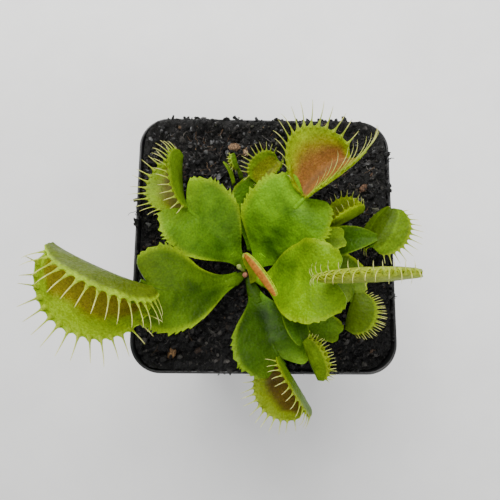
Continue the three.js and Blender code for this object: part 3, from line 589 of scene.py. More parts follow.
def make_pot(material):
    """Tapered wall under an upright band, with a rounded lip, a foot ring and drainage holes."""
    wall, ledge = POT["wall"], POT["ledge"]
    lip = wall / 2
    # profiles from the foot ring over the lip to the floor inside: half-width and height
    outside = [[FOOT - 1, 0], [FOOT - 0.4, 0.2], [outer_half(1), 1]]
    outside += [[outer_half(z), z] for z in np.linspace(6, SHOULDER - 0.4, 8)]
    outside += [[outer_half(SHOULDER) + 0.25, SHOULDER]]
    outside += [[EDGE - 0.35, SHOULDER + 0.3], [EDGE - 0.1, SHOULDER + 0.8]]
    outside += [[EDGE, SHOULDER + 1.6], [EDGE, RIM - lip]]
    turns = np.linspace(0, math.pi, 9)[1:-1]
    lips = [[EDGE - lip + lip * math.cos(a), RIM - lip + lip * math.sin(a)] for a in turns]
    inside = [[RIM_INSIDE, RIM - lip], [RIM_INSIDE, SHOULDER + ledge]]
    inside += [[outer_half(SHOULDER) - wall, SHOULDER - ledge]]
    inside += [[outer_half(POT["floor"]) - wall, POT["floor"]]]
    rings = [rounded_square(half, corner_at(z), z) for half, z in outside]
    for half, z in lips + inside:
        inset = EDGE - half if z > SHOULDER else wall
        rings.append(rounded_square(half, corner_at(z) - inset, z))
    shape = Shape()
    shape.add(rings, capped_faces(len(rings), len(rings[0])), (0.02, 0.02, 0.02))
    pot = shape.make("pot_shell", material, sharp=40)
    reach = FOOT - 2.6 * POT["drain"]
    spots = [(x, y) for x in (-reach, 0, reach) for y in (-reach, 0, reach) if x or y]
    cutter = Shape()
    for x, y in spots:
        line = [[x, y, -2], [x, y, 3 * POT["floor"]]]
        add_tube(cutter, line, [POT["drain"]] * 2, (0, 0, 0), sides=32, squash=(np.array([1.0, 0, 0]), 1.0))
    tool = cutter.make("drain_cutter", material)
    holes = pot.modifiers.new("holes", "BOOLEAN")
    holes.object = tool
    holes.solver = "EXACT"
    bake_modifiers(pot)
    bpy.data.objects.remove(tool)
    return pot


def bake_modifiers(piece):
    """The piece's modifiers become its mesh."""
    graph = bpy.context.evaluated_depsgraph_get()
    made = bpy.data.meshes.new_from_object(piece.evaluated_get(graph))
    piece.modifiers.clear()
    piece.data = made


def ground(x, y):
    """Height of the peat above the rim, as in the solids."""
    walls = HEAP["walls"] * smooth(np.hypot(x, y) / EDGE, HEAP["walls_from"], 1)
    back = HEAP["back"] * smooth(y / EDGE, HEAP["back_from"], HEAP["back_to"])
    lumps = noise(x / PEAT["lump_size"], y / PEAT["lump_size"])
    crumbs = noise(x / PEAT["crumb_size"] + 9, y / PEAT["crumb_size"])
    height = -PEAT["depth"] + walls + back + PEAT["lump"] * (lumps + 0.6 * crumbs)
    for hollow in HOLLOWS:
        away = np.hypot(x - hollow["x"], y - hollow["y"])
        height = height - hollow["deep"] * (1 - smooth(away, hollow["flat"], hollow["wide"]))
    return height


def peat_height(x, y):
    """The ground with the fine relief that the solids leave out, heaped over the rim at the back."""
    wall = np.maximum(np.abs(x), np.abs(y)) / EDGE
    over = BED_RELIEF["back"] * smooth(y / EDGE, 0.86, 0.965)
    over = over * smooth(0.3 + rough(x, y + 2, 5.0, 2), -0.3, 0.5)
    sides = BED_RELIEF["sides"] * smooth(wall, 0.86, 0.97) * (1 - 0.6 * smooth(-x / EDGE, 0.85, 0.95))
    clods = BED_RELIEF["clod"] * np.maximum(rough(x + 3, y, 2.3, 2), 0) ** 1.3
    fine = BED_RELIEF["fine"] * rough(x + 3, y, 0.9, 3)
    return ground(x, y) + over + sides + (clods + fine) * (1 - 0.3 * smooth(wall, 0.9, 0.97))


def painted_back_glint(y):
    """Painted light: the peat's colour is paler towards the back, in place of the glints of the light behind
    the pot.
    """
    return BACK_GLINT_PAINT["front"] + BACK_GLINT_PAINT["gain"] * smooth(y / EDGE, -0.3, 0.9)


def onto_outline(x, y, half, radius):
    """Points of a square of half-size 1 moved so that its edge follows the rounded outline."""
    reach = np.maximum(np.maximum(np.abs(x), np.abs(y)), 1e-6)
    dx, dy = np.abs(x) / reach * half, np.abs(y) / reach * half
    flat = half - radius
    a = dx ** 2 + dy ** 2
    b = -2 * flat * (dx + dy)
    c = 2 * flat ** 2 - radius ** 2
    scale = (-b + np.sqrt(np.maximum(b * b - 4 * a * c, 0))) / (2 * a)
    in_corner = np.minimum(dx, dy) > flat
    scale = np.where(in_corner, np.minimum(scale, 1), 1)
    return x * half * scale, y * half * scale


def make_peat(material):
    """The peat block: a fine uneven top, and sides down to the pot's floor."""
    cells = BED["cells"]
    edge = RIM_INSIDE - PEAT["gap"]
    corner = POT["corner"] - POT["wall"]
    side = np.linspace(-1, 1, cells)
    x, y = onto_outline(*np.meshgrid(side, side), edge, corner)
    top = np.stack([x, y, RIM + peat_height(x, y)], axis=-1)
    dark, pale = colour(BED["dark"]), colour(BED["pale"])
    # A random dark-to-pale tone, with painted light that pales the peat towards the back.
    tint = blend(dark, pale, np.clip(0.4 + 0.5 * rough(x, y + 5, 2.3, 3), 0, 1)) * painted_back_glint(y)[..., None]
    faces = ring_faces(cells, cells, closed=False)
    last = cells - 1
    border = [k for k in range(cells)] + [cells * r + last for r in range(1, cells)]
    border += [cells * last + k for k in range(last - 1, -1, -1)]
    border += [cells * r for r in range(last - 1, 0, -1)]
    skirt = []
    for level in (SHOULDER + POT["ledge"], SHOULDER - POT["ledge"], POT["floor"]):
        z = level + PEAT["gap"]
        share = 1 if z > SHOULDER else (outer_half(z) - POT["wall"] - PEAT["gap"]) / edge
        skirt.append([[*(top.reshape(-1, 3)[i, :2] * share), z] for i in border])
    rows = [border] + [[cells * cells + r * len(border) + k for k in range(len(border))] for r in range(3)]
    for upper, lower in zip(rows, rows[1:]):
        for k, here in enumerate(upper):
            after = (k + 1) % len(border)
            faces.append([here, lower[k], lower[after], upper[after]])
    faces.append(rows[-1][::-1])
    shape = Shape()
    points = np.concatenate([top.reshape(-1, 3), np.array(skirt).reshape(-1, 3)])
    tints = np.concatenate([tint.reshape(-1, 3), np.tile(dark, (3 * len(border), 1))])
    shape.add(points, faces, tints)
    return shape.make("peat", material, sharp=180)


def scatter(count, margin=1.2):
    """Seeded places inside the pot's rim."""
    spots = RANDOM.uniform(-1, 1, (count, 2))
    x, y = onto_outline(spots[:, 0], spots[:, 1], RIM_INSIDE - margin, POT["corner"] - POT["wall"])
    return np.stack([x, y], axis=-1)


ICO = 0.5 * (1 + math.sqrt(5))
ICO_POINTS = unit(np.array([
    [-1, ICO, 0], [1, ICO, 0], [-1, -ICO, 0], [1, -ICO, 0], [0, -1, ICO], [0, 1, ICO],
    [0, -1, -ICO], [0, 1, -ICO], [ICO, 0, -1], [ICO, 0, 1], [-ICO, 0, -1], [-ICO, 0, 1],
]))
ICO_FACES = [
    [0, 11, 5], [0, 5, 1], [0, 1, 7], [0, 7, 10], [0, 10, 11], [1, 5, 9], [5, 11, 4], [11, 10, 2], [10, 7, 6],
    [7, 1, 8], [3, 9, 4], [3, 4, 2], [3, 2, 6], [3, 6, 8], [3, 8, 9], [4, 9, 5], [2, 4, 11], [6, 2, 10],
    [8, 6, 7], [9, 8, 1],
]


def add_crumb(shape, centre, size, tint):
    """A rough lump with its own proportions and turn."""
    stretch = RANDOM.uniform(0.3, 1.45, 3)
    points = ICO_POINTS * RANDOM.uniform(0.7, 1.25, (12, 1)) * stretch * size
    turn = Matrix.Rotation(RANDOM.uniform(0, 6.28), 3, RANDOM.normal(size=3).tolist())
    shape.add(points @ np.array(turn).T + centre, ICO_FACES, tint)


def add_fibre(shape, start, length, radius, tint, lift=0.25):
    """A thin root or moss fibre that bends as it lies."""
    steps = 7
    heading = RANDOM.uniform(0, 2 * math.pi)
    bends = np.cumsum(RANDOM.normal(0, 0.38, steps)) + heading
    rises = RANDOM.normal(0, lift, steps)
    line = [np.array(start, float)]
    for bend, rise in zip(bends, rises):
        line.append(line[-1] + length / steps * np.array([math.cos(bend), math.sin(bend), rise]))
    radii = radius * np.linspace(1, 0.55, len(line))
    add_tube(shape, line, radii, tint, sides=4)


def any_of(tints):
    """One of the tints, drawn by chance."""
    return tints[RANDOM.integers(len(tints))]


def add_clump(shape, x, y, count, tints):
    """Crumbs round one place; on the rim they lie closer together and a little inwards."""
    for _ in range(count):
        strewn = RANDOM.normal(0, CLUMP["strewn"], 2)
        on_rim = np.abs([x, y]) > RIM_FROM
        inwards = -CLUMP["inwards"] * np.sign([x, y]) * on_rim
        spot = np.array([x, y]) + inwards + np.where(on_rim, CLUMP["rim"], CLUMP["bed"]) * strewn
        level = RIM + RANDOM.uniform(-0.4, 0.5)
        add_crumb(shape, [*spot, level], RANDOM.uniform(0.35, 0.95), any_of(tints))


def add_rim_bits(shape, tints):
    """Clumps, fine bits and fibres that lie on the pot's rim."""
    for x, y, count in RIM_CLUMPS:
        add_clump(shape, x, y, count, tints)
    for side, count in RIM_BITS:
        for along in RANDOM.uniform(-RIM_STRAIGHT, RIM_STRAIGHT, count):
            across = RIM_MIDDLE - 0.35 + RANDOM.normal(0, 0.18)
            spot = np.array([side[0] * across - side[1] * along, side[1] * across + side[0] * along])
            size = RANDOM.uniform(0.2, 0.55)
            add_crumb(shape, [*spot, RIM - 0.15], size, any_of(tints))
    for x in RANDOM.uniform(-RIM_STRAIGHT, RIM_STRAIGHT, BACK_BITS):
        spot = [x, RIM_MIDDLE + RANDOM.normal(0, 0.45), RIM + RANDOM.uniform(-0.2, 0.5)]
        add_crumb(shape, spot, RANDOM.uniform(0.35, 1.0), any_of(tints))
    for x, y in RIM_TUFTS:
        for _ in range(3):
            start = [x, y, RIM - 0.2]
            add_fibre(shape, start, RANDOM.uniform(3, 5.5), RANDOM.uniform(0.12, 0.22), tints[0], lift=0.35)


def make_crumbs(material):
    """Loose grains, bits of brown moss and fibres on the peat, and the bits that lie on the rim."""
    shape = Shape()
    darks = [colour(c) for c in PEAT_DARKS]
    browns = [colour(c) for c in PEAT_BROWNS]
    # Grains and fibres also take the painted light towards the back.
    for x, y in scatter(GRAINS):
        size = 0.24 + 0.8 * RANDOM.random() ** 3
        tint = any_of(browns) * 0.6 if RANDOM.random() < 0.04 else any_of(darks)
        height = float(peat_height(x, y)) + 0.2 * size + 0.5 * RANDOM.random() ** 2
        add_crumb(shape, [x, y, RIM + height], size, np.minimum(tint * painted_back_glint(y), PALEST_GRAIN))
    for x, y in scatter(FIBRES, margin=2.5):
        dark = any_of(darks[2::2])
        tint = (any_of(browns) * 0.5 if RANDOM.random() < 0.3 else dark) * painted_back_glint(y)
        start = [x, y, RIM + float(peat_height(x, y)) + 0.25]
        add_fibre(shape, start, RANDOM.uniform(1.2, 5), RANDOM.uniform(0.05, 0.14), tint)
    add_rim_bits(shape, darks[:3])
    return shape.make("peat_crumbs", material, sharp=25)


def make_chip(index, x, y, radius, material):
    """One weathered bark chip."""
    form = bmesh.new()
    bmesh.ops.create_icosphere(form, subdivisions=4, radius=1.0)
    points = np.array([v.co[:] for v in form.verts])
    faces = [[v.index for v in f.verts] for f in form.faces]
    form.free()
    chunky = np.sign(points) * np.abs(points) ** 0.8
    swell = 0.95 + 0.16 * rough(points[:, :1] * 2 + index, points[:, 1:2] * 2 + points[:, 2:] * 3, 1.0, 3)
    points = chunky * swell * radius * np.array(CHIP_FORM)
    c, s = math.cos(index * CHIP_TURN), math.sin(index * CHIP_TURN)
    points = points @ np.array([[c, s, 0], [-s, c, 0], [0, 0, 1]])
    height = RIM + float(ground(np.float64(x), np.float64(y))) + 0.2
    shape = Shape()
    shape.add(points + [x, y, height], faces, colour(CHIP_COLOURS[index]))
    return shape.make(f"bark_{index + 1}", material)


# ---------------------------------------------------------------- leaves
def catmull_rom(points, samples=600):
    """A centripetal curve through the points, sampled evenly along its length."""
    points = np.asarray(points, float)
    padded = np.concatenate([[2 * points[0] - points[1]], points, [2 * points[-1] - points[-2]]])
    spans = []
    for p0, p1, p2, p3 in zip(padded, padded[1:], padded[2:], padded[3:]):
        d0, d1, d2 = (np.linalg.norm(b - a) ** 0.5 for a, b in ((p0, p1), (p1, p2), (p2, p3)))
        t1 = ((p1 - p0) / d0 - (p2 - p0) / (d0 + d1) + (p2 - p1) / d1) * d1
        t2 = ((p2 - p1) / d1 - (p3 - p1) / (d1 + d2) + (p3 - p2) / d2) * d1
        w = np.linspace(0, 1, 80, endpoint=False)[:, None]
        near = p1 + t1 * w + (3 * (p2 - p1) - 2 * t1 - t2) * w ** 2
        spans.append(near + (2 * (p1 - p2) + t1 + t2) * w ** 3)
    dense = np.concatenate([*spans, points[-1:]])
    walked = np.concatenate([[0], np.cumsum(np.linalg.norm(np.diff(dense, axis=0), axis=1))])
    even = np.linspace(0, walked[-1], samples + 1)
    return np.stack([np.interp(even, walked, dense[:, k]) for k in range(3)], axis=1), walked[-1]


class Midrib:
    """A leaf's midrib line: points and directions by the share of its length."""

    def __init__(self, leaf):
        foot = [[*leaf["root"], z] for z in ROOT_LINE]
        line = [np.array(p, float) for p in leaf["midrib"]]
        ahead = unit(line[-1] - line[-2]) * leaf["notch"]
        self.points, self.length = catmull_rom([*foot, *line, line[-1] + ahead])
        self.chord = unit((self.points[-1] - self.points[0]) * [1, 1, 0])
        self.sunk = (ROOT_LINE[-1] - ROOT_LINE[0]) / self.length

    def at(self, share):
        place = np.clip(np.asarray(share, float), 0, 1) * (len(self.points) - 1)
        index = np.arange(len(self.points))
        return np.stack([np.interp(place, index, self.points[:, k]) for k in range(3)], axis=-1)

    def ahead(self, share):
        return unit(self.at(np.asarray(share) + 0.004) - self.at(np.asarray(share) - 0.004))

    def frame(self, share, along):
        """Directions ahead, to the right and up, as the solids turn them."""
        window = BLADE["window"]
        heading = unit((self.at(share + window) - self.at(share - window)) * [1, 1, 0])
        kept = (1 - (1 - BLADE["turning"]) * smooth(along, 0, BLADE["turned"]))[:, None]
        side = unit(np.cross(unit(heading * (1 - kept) + self.chord * kept), [0, 0, 1]))
        ahead = self.ahead(share)
        return ahead, side, unit(np.cross(side, ahead))


def half_width(leaf, along):
    """Half the blade's width; along is 0 where the leaf leaves the peat and 1 at its tip."""
    foot, most, widest = leaf["size"]["foot"], leaf["width"] / 2, leaf["widest"]
    rising = foot + (most - foot) * smooth(along, 0, widest) ** leaf["taper"]
    past = np.clip((along - widest) / (1 - widest), 0, 1)
    return np.where(along < widest, rising, most * (1 - (1 - leaf["tip"]) * past ** HEART["tip_power"]))


def drawn_back(leaf, across, along):
    """How far a blade's heart-shaped end is cut back at the notch and at its corners."""
    edge = np.abs(across)
    corner = leaf["corner"] * leaf["width"]
    corner = corner * smooth(edge, HEART["inner"], HEART["outer"])
    drawn = leaf["notch"] * (1 - edge) ** HEART["notch_power"] + corner + leaf["skew"] * across
    return drawn * smooth(along, BLADE["heart"], 1)


def saw_teeth(along, count, phase):
    """Small forward-leaning points along a margin, from 0 to 1, uneven in size."""
    walk = along * count + phase + 0.35 * np.sin(along * 31 + phase)
    step = walk - np.floor(walk)
    size = 0.35 + 0.65 * chance(np.floor(walk), count)
    return size * np.where(step < 0.7, step / 0.7, (1 - step) / 0.3) ** 1.5


def add_stalk(shape, leaf):
    """The winged stalk: a thin blade with a midrib keel, soft pillows and a serrated margin."""
    size = leaf["size"]
    midrib = Midrib(leaf)
    at = np.linspace(0, 1, size["steps"] + 1)
    spread = np.linspace(-1, 1, size["columns"])
    along = np.maximum(0, (at - midrib.sunk) / (1 - midrib.sunk))
    ahead, side, up = midrib.frame(at, along)
    across = np.sign(spread) * np.abs(spread) ** 0.85
    grown, across = np.meshgrid(along, across, indexing="ij")
    edge = np.abs(across)
    half = half_width(leaf, grown)
    fold = leaf["fold"] * edge ** BLADE["fold_power"] + leaf["lean"] * across
    lift = fold * half * smooth(grown, 0, BLADE["folded"])
    points = leaf["serrations"] * 2.3
    teeth = np.where(across < 0, saw_teeth(grown, points, 0.3), saw_teeth(grown, points, 0.8))
    height = size["saw"] * leaf["sharp"] * min(1, leaf["serrations"])
    serration = height * teeth * smooth(grown, 0.3, 0.65) * smooth(edge, 0.88, 1)
    # soft pillows beside the midrib, a groove on it, and a margin that waves a little
    seed = leaf["root"][0] * 1.7
    pillow = RELIEF["pillow"] * half * np.sin(math.pi * edge) * smooth(grown, 0.1, 0.5)
    groove = -RELIEF["groove"] * np.exp(-(across * half / RELIEF["groove_wide"]) ** 2)
    groove = groove * smooth(grown, 0.05, 0.4)
    phase = grown * 2.4 + seed + 0.37 * np.sign(across)
    waves = RELIEF["wave"] * half * edge ** 3 * np.sin(2 * math.pi * phase)
    dents = RELIEF["dent"] * half * rough(grown * 6 + seed, across * 1.6 + seed, 1.0, 2)
    relief = pillow + groove + (waves + dents) * smooth(grown, 0.15, 0.5)
    out = across * half + np.sign(across) * serration
    forward = 0.6 * serration - drawn_back(leaf, across, grown)
    top = midrib.at(at)[:, None] + side[:, None] * out[..., None]
    top = top + up[:, None] * (lift + relief)[..., None] + ahead[:, None] * forward[..., None]
    keel = size["thick"] * np.exp(-(across * half / SHEET["keel_wide"]) ** 2)
    thick = np.maximum(keel, SHEET["thick"] - SHEET["thinned"] * smooth(edge, 0.85, 1))
    low = top - up[:, None] * thick[..., None]
    blade, deep, margin = (colour(c) for c in leaf["colours"][:3])
    mottled = rough(grown * 7 + seed, across * 2.4 + seed, 1.0, 3)
    # Painted shade: the blade's colour deepens along the midrib and in its lower part.
    tint = blend(deep, blade, smooth(0.45 * edge + grown + 0.25 * mottled, 0.2, 1.1))
    tint = blend(tint, margin, 0.9 * smooth(edge, 0.84, 1) * smooth(grown, 0.1, 0.4))
    tint = blend(tint, margin, 0.3 * smooth(grown, 0.8, 1.0) * (0.3 + 0.7 * edge))
    tint = blend(blade * FOOT_TINT, tint, smooth(grown, 0.03, 0.3))
    # Painted light: one side of the blade is lightened where it lies in another leaf's shadow.
    painted_light = np.maximum(0, leaf["painted_light"] * across)
    tint = tint * (1 + MOTTLED["blade"] * mottled + painted_light)[..., None]
    pale_under = blend(tint, colour(UNDERSIDE), 0.4)
    plain = np.zeros_like(out)
    add_blade(shape, top, low, tint, pale_under, plain, plain)


def lobe_point(trap, turn, reach):
    """The trap in its own frame: hinge along +X, mouth to +Z, reach 0 at the hinge and 1 or -1 at a rim."""
    lead = math.radians(LOBE["lead"])
    angle = lead + (math.pi - 2 * lead) * turn
    spread = np.abs(reach)
    hinge = trap["length"] * (1 - np.cos(angle) / math.cos(lead)) / 2
    rim = trap["length"] * (1 - LOBE["bulge"] * np.cos(angle)) / 2
    depth = trap["width"] * np.sin(angle) ** trap.get("round", LOBE["round"])
    opening = math.radians(trap["open"]) * (LOBE["ends"] + (1 - LOBE["ends"]) * np.sin(angle))
    cup = math.radians(trap["cup"])
    bend = opening + cup - 2 * cup * spread
    curved = depth * (np.cos(bend) - np.cos(opening + cup)) / (2 * cup)
    y = np.hypot(curved, LOBE["apart"] * smooth(spread, 0, 0.08))
    z = depth * (np.sin(opening + cup) - np.sin(bend)) / (2 * cup)
    sag = LOBE["sag"] * trap["length"] * np.sin(math.pi * turn) * (1 - spread)
    bow = trap.get("bow", 0) * trap["length"] * np.sin(math.pi * turn)
    return np.stack([hinge + (rim - hinge) * spread, np.sign(reach) * y + bow, z - sag], axis=-1)


def lobe_place(trap, turn, reach):
    """A point of a lobe and the directions along the rim, out past it, and into the trap."""
    small = 1e-3
    point = lobe_point(trap, turn, reach)
    along = unit(lobe_point(trap, turn + small, reach) - lobe_point(trap, turn - small, reach))
    out = unit(point - lobe_point(trap, turn, reach * (1 - 5 * small)))
    inward = unit(np.cross(along, out) * np.sign(reach)[..., None])
    return point, along, out, inward


def lobe_spot(trap, turn, reach):
    """The same for a single place."""
    return (v[0] for v in lobe_place(trap, np.array([turn]), np.array([reach])))


def trap_frame(leaf):
    """Rotation columns and origin that take the trap's own frame to the plant's."""
    trap = leaf["trap"]
    azimuth, elevation, roll = (math.radians(trap[k]) for k in ("azimuth", "elevation", "roll"))
    level = math.cos(elevation)
    ahead = np.array([level * math.cos(azimuth), level * math.sin(azimuth), math.sin(elevation)])
    right = unit(np.cross(ahead, [0, 0, 1]))
    mouth = np.cross(right, ahead) * math.cos(roll) + right * math.sin(roll)
    start = trap.get("start", leaf["midrib"][-1])
    return np.stack([ahead, np.cross(mouth, ahead), mouth]), np.array(start, float)


def in_plant(leaf, points):
    """Points of the trap's own frame, in the plant's."""
    axes, start = trap_frame(leaf)
    return points @ axes + start


def webbing(leaf, turns, reach):
    """How far the skin between the teeth reaches past the rim: it hangs from tooth to tooth."""
    if "teeth" not in leaf:
        return np.zeros_like(reach)
    trap, count = leaf["trap"], leaf["teeth"]["count"]
    phase = turns * count - 0.5 - np.sign(reach) * TOOTH["shift"]
    hung = 1 - np.abs(np.sin(math.pi * phase))
    height = WEB * trap["length"] / count * np.sqrt(np.sin(math.pi * turns))
    return height * hung * smooth(np.abs(reach), 0.85, 1)


def add_lobes(shape, leaf):
    """Both lobes as one thin sheet folded at the hinge, with a red glandular field inside each."""
    trap = leaf["trap"]
    big = trap["length"] > BIG_TRAP
    count = leaf["teeth"]["count"] if "teeth" in leaf else 5
    spread = np.linspace(-1, 1, 45 if big else 29)
    reach = np.where(np.abs(spread) < 1e-6, 1e-4, np.sign(spread) * np.abs(spread) ** 0.9)
    turns, reach = np.meshgrid(np.linspace(0, 1, 8 * count + 1), reach, indexing="ij")
    near = np.abs(reach)
    point, _, out, inward = lobe_place(trap, turns, reach)
    point = point + out * webbing(leaf, turns, reach)[..., None]
    inward = unit(blend(np.array([0.0, 0, 1]), inward, smooth(near, 0, 0.22)))
    # shallow bumps, a rim that flares, and a fillet along the hinge
    seed = leaf["root"][1]
    bumps = LOBE_RELIEF["bump"] * rough(turns * 9 + seed, reach * 4 + seed, 1.0, 2) * smooth(near, 0.1, 0.4)
    flare = LOBE_RELIEF["shut" if trap["open"] < SHUT_TRAP else "flare"] * smooth(near, 0.82, 1.0)
    fillet = LOBE_RELIEF["fillet"] * (1 - smooth(near, 0, 0.16))
    middle = point + inward * (trap["width"] * (bumps + flare + fillet))[..., None]
    half = LOBE["thick"] / 2 * (1 - 0.45 * smooth(near, 0.9, 1))
    top, low = middle + inward * half[..., None], middle - inward * half[..., None]
    inside, band, right, left = (colour(leaf["colours"][k]) for k in (3, 4, 5, -1))
    outside = blend(right, left, reach > 0)
    patchy = rough(turns * 7 + seed, reach * 3.3, 1.0, 3)
    field = smooth(near + 0.05 * patchy, *leaf["field"])
    red = (1 - field) * smooth(np.sin(math.pi * turns), 0.05, 0.45)
    tint_in = blend(band, inside, red)
    tint_in = blend(tint_in, inside * 0.5, 0.7 * (1 - smooth(near, 0.0, 0.14)))
    tint_out = blend(outside, band, smooth(near, 0.86, 0.98))
    tint_out = blend(tint_out, outside * 0.82, 1 - smooth(near, 0.0, 0.35))
    if leaf["painted_crease_light"]:
        # Painted light: a highlight along the crease and shade on its hinge side stand in for a fold in the
        # lobe.
        crease = np.exp(-((near - 0.45) / 0.05) ** 2) - 0.8 * (1 - smooth(near, 0.36, 0.5))
        tint_out = tint_out * (1 + 0.35 * crease)[..., None]
    tint_in, tint_out = (t * (1 + MOTTLED["lobe"] * patchy)[..., None] for t in (tint_in, tint_out))
    ribs = turns * trap["length"] * 0.9
    glands = red * smooth(near, 0.0, 0.15)
    add_blade(shape, in_plant(leaf, top), in_plant(leaf, low), tint_in, tint_out, ribs, glands)


def tooth_line(leaf, k, sign):
    """A tooth's bent middle line from inside the rim to its tip, and the direction into the trap."""
    teeth = {**PLAIN_TEETH, **leaf["teeth"]}
    curl, sweep, first = (teeth[key][0 if sign > 0 else 1] for key in ("curl", "sweep", "first"))
    centre = (k + 0.5 + sign * TOOTH["shift"]) / teeth["count"]
    point, along, out, inward = lobe_spot(leaf["trap"], centre, sign)
    length = teeth["length"] * (TOOTH["least"] + (1 - TOOTH["least"]) * math.sqrt(math.sin(math.pi * centre)))
    length = length * RANDOM.uniform(0.92, 1.04) * (1 + 0.3 * sweep)
    if k == 0:
        length = length * first
    curl = curl + RANDOM.normal(0, 0.05)
    away = unit(out - along * (TOOTH["fan"] * (out @ along) + RANDOM.normal(0, 0.06)) + [sweep, 0, 0])
    root = point - away * 0.4
    middle = point + length * (TOOTH["waist_at"] * away + TOOTH["bend"] * curl * inward)
    tip = point + length * ((1 - TOOTH["drawn"] * abs(curl)) * away + curl * inward)
    control = 2 * middle - (root + tip) / 2
    t = np.linspace(0, 1, TOOTH_RINGS)[:, None]
    return root * (1 - t) ** 2 + 2 * control * t * (1 - t) + tip * t ** 2, inward, t[:, 0]


def add_teeth(shape, leaf):
    """Long tapered teeth along both rims, broad where they leave the rim, each bent its own way."""
    teeth, axes = leaf["teeth"], trap_frame(leaf)[0]
    band, pale, tip = (colour(c) for c in (leaf["colours"][4], *TOOTH_COLOURS))
    base = 0.12 + 0.0145 * teeth["length"]
    for sign in (-1.0, 1.0):
        for k in range(teeth["count"]):
            line, inward, t = tooth_line(leaf, k, sign)
            radii = base * (0.15 + 0.85 * (1 - t) ** 0.8) * (1 + 2.2 * np.exp(-(t / 0.14) ** 2))
            tint = blend(blend(band, pale, smooth(t, 0.0, 0.15)), tip, smooth(t, 0.2, 0.7))
            squash = (inward @ axes, 0.6)
            add_tube(shape, in_plant(leaf, line), radii, tint, sides=TOOTH_SIDES, squash=squash)


def add_trigger_hairs(shape, leaf):
    """Three short dark hairs inside each lobe."""
    for sign in (-1.0, 1.0):
        for turn, reach in HAIRS:
            point, _, _, inward = lobe_spot(leaf["trap"], turn, sign * reach)
            line = in_plant(leaf, point + inward * np.linspace(0, HAIR_LENGTH, 6)[:, None])
            add_tube(shape, line, np.linspace(0.09, 0.03, 6), colour(HAIR_COLOUR), sides=5)


def add_neck(shape, leaf):
    """The short neck under the hinge that joins the stalk's midrib to the trap."""
    axes, start = trap_frame(leaf)
    midrib = Midrib(leaf)
    notch = np.array(leaf["midrib"][-1], float)
    reach = min(3.0, leaf["trap"]["length"] * 0.3)
    behind = notch - midrib.ahead(0.85) * (2.2 + leaf["notch"] * 0.4) - [0, 0, 0.7]
    line, _ = catmull_rom([behind, start - [0, 0, 0.35], np.array([reach, 0, -0.3]) @ axes + start], 12)
    radius = leaf["size"]["neck"] * 0.8
    add_tube(shape, line, radius * np.linspace(0.9, 0.8, len(line)), colour(leaf["colours"][0]), sides=12)


def add_sheath(shape, leaf):
    """The broad base that joins a large leaf's stalk to the crown."""
    midrib = Midrib(leaf)
    root = np.array([*leaf["root"], -2.5])
    start = root + 0.75 * np.array([CROWN["x"] - root[0], CROWN["y"] - root[1], -1.5])
    end = midrib.at(midrib.sunk + 0.12) - [0, 0, 0.4]
    line, _ = catmull_rom([start, root, end], 10)
    share = np.linspace(0, 1, len(line))
    tint = colour(leaf["colours"][0]) * np.linspace(0.8, FOOT_TINT, len(share))[:, None]
    radii = np.interp(share, [0, 0.5, 1], [1.0, 2.1, 1.3])
    add_tube(shape, line, radii, tint, sides=16, squash=(np.array([0.0, 0, 1]), 0.5))


def make_leaf(leaf, material):
    """One leaf with its trap, lifted to the pot's rim."""
    leaf = {**PLAIN_LEAF, **leaf}
    shape = Shape()
    add_stalk(shape, leaf)
    if leaf["size"] is LARGE:
        add_sheath(shape, leaf)
    if "trap" in leaf:
        add_neck(shape, leaf)
        add_lobes(shape, leaf)
        if "teeth" in leaf:
            add_teeth(shape, leaf)
        if leaf["trap"]["length"] > BIG_TRAP and leaf["trap"]["open"] > OPEN_TRAP:
            add_trigger_hairs(shape, leaf)
    for points in shape.points:
        points[:, 2] += RIM
    return shape.make(leaf["name"] + "_grown", material)


def make_crown(material):
    """The short rhizome in the peat, a pale spoon-ended bud and a small pink one."""
    shape = Shape()
    base = np.array([CROWN["x"], CROWN["y"], RIM])
    heights, widths = np.transpose(RHIZOME)
    line = base + np.outer(heights, [0, 0, 1])
    add_tube(shape, line, widths * CROWN["radius"], colour(RHIZOME_COLOUR), sides=20)
    for lean, turn, length, low, high in BUDS:
        lean, turn = math.radians(lean), math.radians(turn)
        ahead = np.array([math.sin(lean) * math.cos(turn), math.sin(lean) * math.sin(turn), math.cos(lean)])
        t = np.linspace(0, 1, 22)
        line = base + [0, 0, CROWN["bud_foot"]] + np.outer(t * length, ahead)
        radii = np.interp(t, *np.transpose(BUD_FORM))
        add_tube(shape, line, radii, blend(colour(low), colour(high), t), sides=16)
    return shape.make("crown_grown", material)


# ---------------------------------------------------------------- the pieces
def place_pieces():
    skin, young, bud = (leaf_material(*values) for values in SKINS)
    made = [(make_pot(pot_material()), "pot", ["pot"])]
    peat = peat_material()
    made.append((make_peat(peat), "soil", ["soil"]))
    made.append((make_crumbs(peat), "soil", ["soil"]))
    for leaf in LEAVES:
        young_leaf = leaf["name"] == "leaf_centre"
        slot = "centre_leaf" if young_leaf else "leaf"
        made.append((make_leaf(leaf, young if young_leaf else skin), slot, [leaf["name"]]))
    made.append((make_crown(bud), "crown", ["crown"]))
    bark = bark_material()
    for index, (x, y, radius) in enumerate(CHIPS):
        made.append((make_chip(index, x, y, radius, bark), "bark", [f"bark_chip_{index + 1}"]))
    for piece, slot, nodes in made:
        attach(piece, "root")
        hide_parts(*nodes)


# ---------------------------------------------------------------- floor, light and camera
PAPER = (0.92, 0.92, 0.912)
FLOOR_REACH = 3.0
# Painted light fall-off on the paper: its brightness at the front left and at the back right, and where the
# change starts and ends, in metres.
PAINTED_PAPER_FALLOFF = {"low": 0.76, "high": 1.03, "start": -0.19, "end": 0.1}
ROOM = {"tone": (0.98, 0.99, 1, 1), "strength": 0.52}
# Soft lights in metres and watts: a window behind the pot and a fill from the front right.
LIGHTS = [
    {"name": "window", "place": (-0.1, 0.36, 0.48), "size": 0.5, "power": 5.5, "tone": (1, 0.99, 0.97)},
    {"name": "fill", "place": (0.45, -0.7, 0.65), "size": 1.0, "power": 9, "tone": (1, 1, 1)},
]
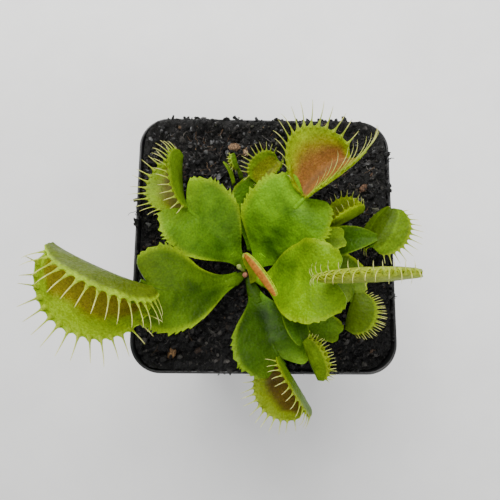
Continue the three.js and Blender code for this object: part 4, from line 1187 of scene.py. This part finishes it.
# The camera's place, lens and sensor in millimetres, and the directions that it looks and holds up.
CAMERA = {
    "place": (-7.86, -28.2, RIM + 145.69), "forward": (0.0227, 0.1714, -0.9849),
    "up": (-0.0127, 0.9852, 0.1712), "lens": 34.56, "sensor": 36,
}


def make_floor():
    """A sheet of pale paper with painted shade that darkens it a little towards the front left."""
    mesh = bpy.data.meshes.new("floor")
    corners = [[x * FLOOR_REACH, y * FLOOR_REACH, 0] for x, y in ((-1, -1), (1, -1), (1, 1), (-1, 1))]
    mesh.from_pydata(corners, [], [[0, 1, 2, 3]])
    look = Look("pale_paper", 0.75)
    x, y = (look.node("SeparateXYZ", axis, {"Vector": look.place()}) for axis in "XY")
    # Painted light fall-off: the paper's colour darkens towards the front left.
    far = look.maths("ADD", y, look.product(x, 0.4))
    shade = look.product(look.speckled(30, 0.97, 1.03), look.ranged(far, **PAINTED_PAPER_FALLOFF))
    look.give("Base Color", look.times(PAPER, shade))
    mesh.materials.append(look.material)
    floor = add_object("floor", mesh)


def add_light(name, place, size, power, tone):
    """A square light that points at the middle of the pot's mouth."""
    lamp = bpy.data.lights.new(name, "AREA")
    lamp.shape = "SQUARE"
    lamp.size = size
    lamp.energy = power
    lamp.color = tone
    made = add_object(name, lamp)
    made.location = place
    direction = np.array([0, 0, RIM * MM]) - place
    made.rotation_euler = Vector(direction).to_track_quat("-Z", "Y").to_euler()


def make_light():
    world = bpy.data.worlds.new("room")
    world.use_nodes = True
    world.node_tree.nodes["Background"].inputs["Color"].default_value = ROOM["tone"]
    world.node_tree.nodes["Background"].inputs["Strength"].default_value = ROOM["strength"]
    bpy.context.scene.world = world
    for light in LIGHTS:
        add_light(**light)


def make_camera():
    """The photograph's view, nearly straight down from a hand's width above the leaves."""
    place = np.array(CAMERA["place"]) * MM
    forward = unit(np.array(CAMERA["forward"]))
    right = unit(np.cross(forward, CAMERA["up"]))
    up = np.cross(right, forward)
    camera = bpy.data.cameras.new("camera")
    camera.sensor_width = CAMERA["sensor"]
    camera.lens = CAMERA["lens"]
    camera.clip_start = 0.01
    made = add_object("camera", camera)
    turn = np.stack([right, up, -forward], axis=1)
    made.matrix_world = Matrix.Translation(place.tolist()) @ Matrix(turn.tolist()).to_4x4()
    bpy.context.scene.camera = made


make_camera()
place_pieces()
make_floor()
make_light()
